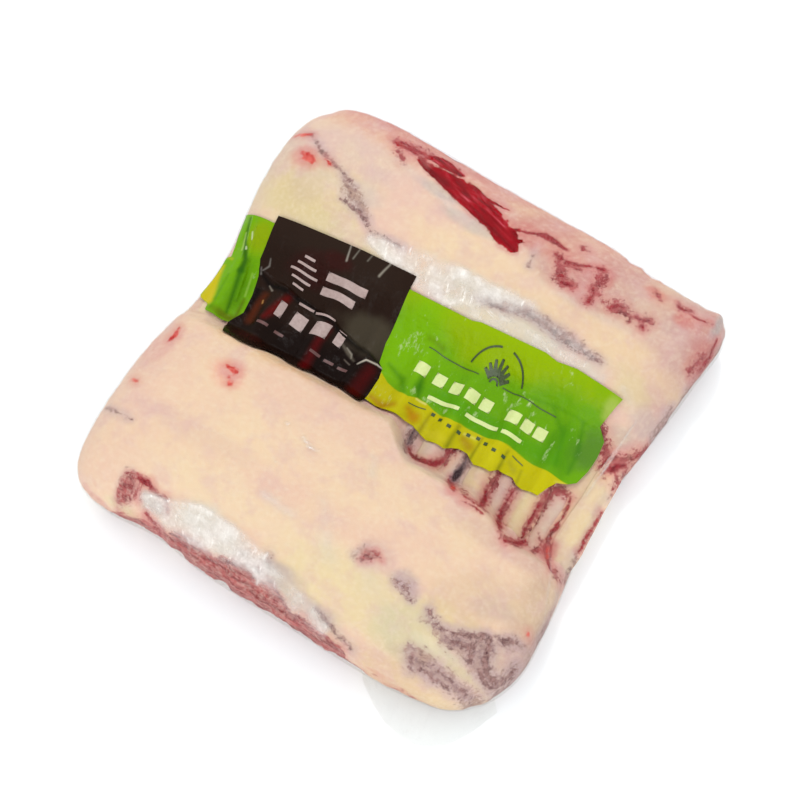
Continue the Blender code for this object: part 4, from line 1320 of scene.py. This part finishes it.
inked("faint_print", (120, 74, 70), (60, 24, 22), [
    bar(x, -3.0 - 0.02 * x, 5.5, 1.6) for x in (-76, -67, -46, -38, -30)
])


# The bag's spare end: past the weld at the corner its two films stick out as one clear
# flap that lies crumpled on the table.

FLAP_INNER = (
    (52, -124), (62, -125), (72, -124), (82, -123), (92, -121), (101, -117), (108, -112), (113, -104),
)
FLAP_OUTER = (
    (54, -127), (64, -134), (73, -139), (84, -141.5), (94, -141), (104, -134), (111, -123), (117, -108),
)
FLAP_BASE, FLAP_RISE, FLAP_THICKNESS = 0.4, 4.0, 0.15


def flap(rows=120, columns=36):
    """A strip between two edges, sinking to the table outwards, with creases that fan out."""
    u, v = grid(np.linspace(0.0, 1.0, rows), np.linspace(0.0, 1.0, columns))
    steps = np.linspace(0.0, 1.0, len(FLAP_INNER))
    inner = [np.interp(u, steps, values) for values in zip(*FLAP_INNER)]
    outer = [np.interp(u, steps, values) for values in zip(*FLAP_OUTER)]
    x, y = (near + (far - near) * v for near, far in zip(inner, outer))
    fan = np.abs(hills(70.0 * u, 4.0 * v, 3.2, 71)) * 3.2 * (1.0 - v) ** 0.7
    crease = fan + 0.6 * np.abs(hills(x, y, 3.0, 72))
    z = FLAP_BASE + FLAP_RISE * (1.0 - v) ** 2 + 0.5 * crease * (0.3 + 0.7 * v * (1.0 - v) * 3.0)
    under = np.stack([x, y, z - FLAP_THICKNESS], axis=2)
    points, faces = closed_form(np.stack([x, y, z], axis=2), under)
    haze_and_sheen = np.clip(0.07 * hills(x, y, 6.0, 73), 0.0, 1.0)
    piece = make_piece("bag_flap", points, faces, FILM, {"haze_and_sheen": joined(haze_and_sheen, haze_and_sheen)}, thin=True)


flap()


# The table: one pale smooth sheet that the pack lies on.

TABLE_REACH = 6.0


def table_material():
    """Matt white paint with the least unevenness."""
    made, tree, where = new_material("white_table")
    cloud = grain(tree, where, 12.0, 3.0)
    return surfaced(made, "ShaderNodeBsdfPrincipled", {
        "Base Color": mixed(tree, cloud, (0.87, 0.91, 0.93), (0.88, 0.92, 0.94)),
        "Roughness": 0.75,
        "Specular IOR Level": 0.2,
    })


mesh = bpy.data.meshes.new("table")
corners = [(TABLE_REACH * i, TABLE_REACH * j, 0.0) for i, j in ((-1, -1), (1, -1), (1, 1), (-1, 1))]
mesh.from_pydata(corners, [], [(0, 1, 2, 3)])
mesh.materials.append(table_material())
table = bpy.data.objects.new("table", mesh)
bpy.context.scene.collection.objects.link(table)


# Light: a bright room all round, one broad lamp beyond the far side, and a weaker one nearer.

AIM = Vector((0.0012, 0.0, 0.020))
ROOM_STRENGTH = 1.25


def aimed(made, azimuth, elevation, distance):
    """Adds a lamp or camera that looks at the pack from this direction, in degrees, and distance."""
    turn, rise = math.radians(azimuth), math.radians(elevation)
    away = Vector((math.sin(turn) * math.cos(rise), -math.cos(turn) * math.cos(rise), math.sin(rise)))
    made.location = AIM + away * distance
    made.rotation_euler = away.to_track_quat("Z", "Y").to_euler()
    bpy.context.scene.collection.objects.link(made)


def lamp(name, size, power, azimuth, elevation, distance):
    """A square lamp aimed at the pack."""
    light = bpy.data.lights.new(name, "AREA")
    light.size, light.energy = size, power
    aimed(bpy.data.objects.new(name, light), azimuth, elevation, distance)


lamp("far_lamp", 0.18, 7.0, 200.0, 52.0, 1.8)
lamp("near_lamp", 0.5, 11.0, 15.0, 26.0, 2.0)
world = bpy.data.worlds.new("bright_room")
world.use_nodes = True
background = world.node_tree.nodes["Background"]
background.inputs["Color"].default_value = (1.0, 1.0, 1.0, 1.0)
background.inputs["Strength"].default_value = ROOM_STRENGTH
bpy.context.scene.world = world


# The camera, above and a little to one side, with a long lens.

camera = bpy.data.objects.new("camera", bpy.data.cameras.new("camera"))
camera.data.lens, camera.data.sensor_width = 115.0, 36.0
aimed(camera, 30.0, 69.0, 1.25)
bpy.context.scene.camera = camera
bpy.context.scene.view_settings.view_transform = "Standard"
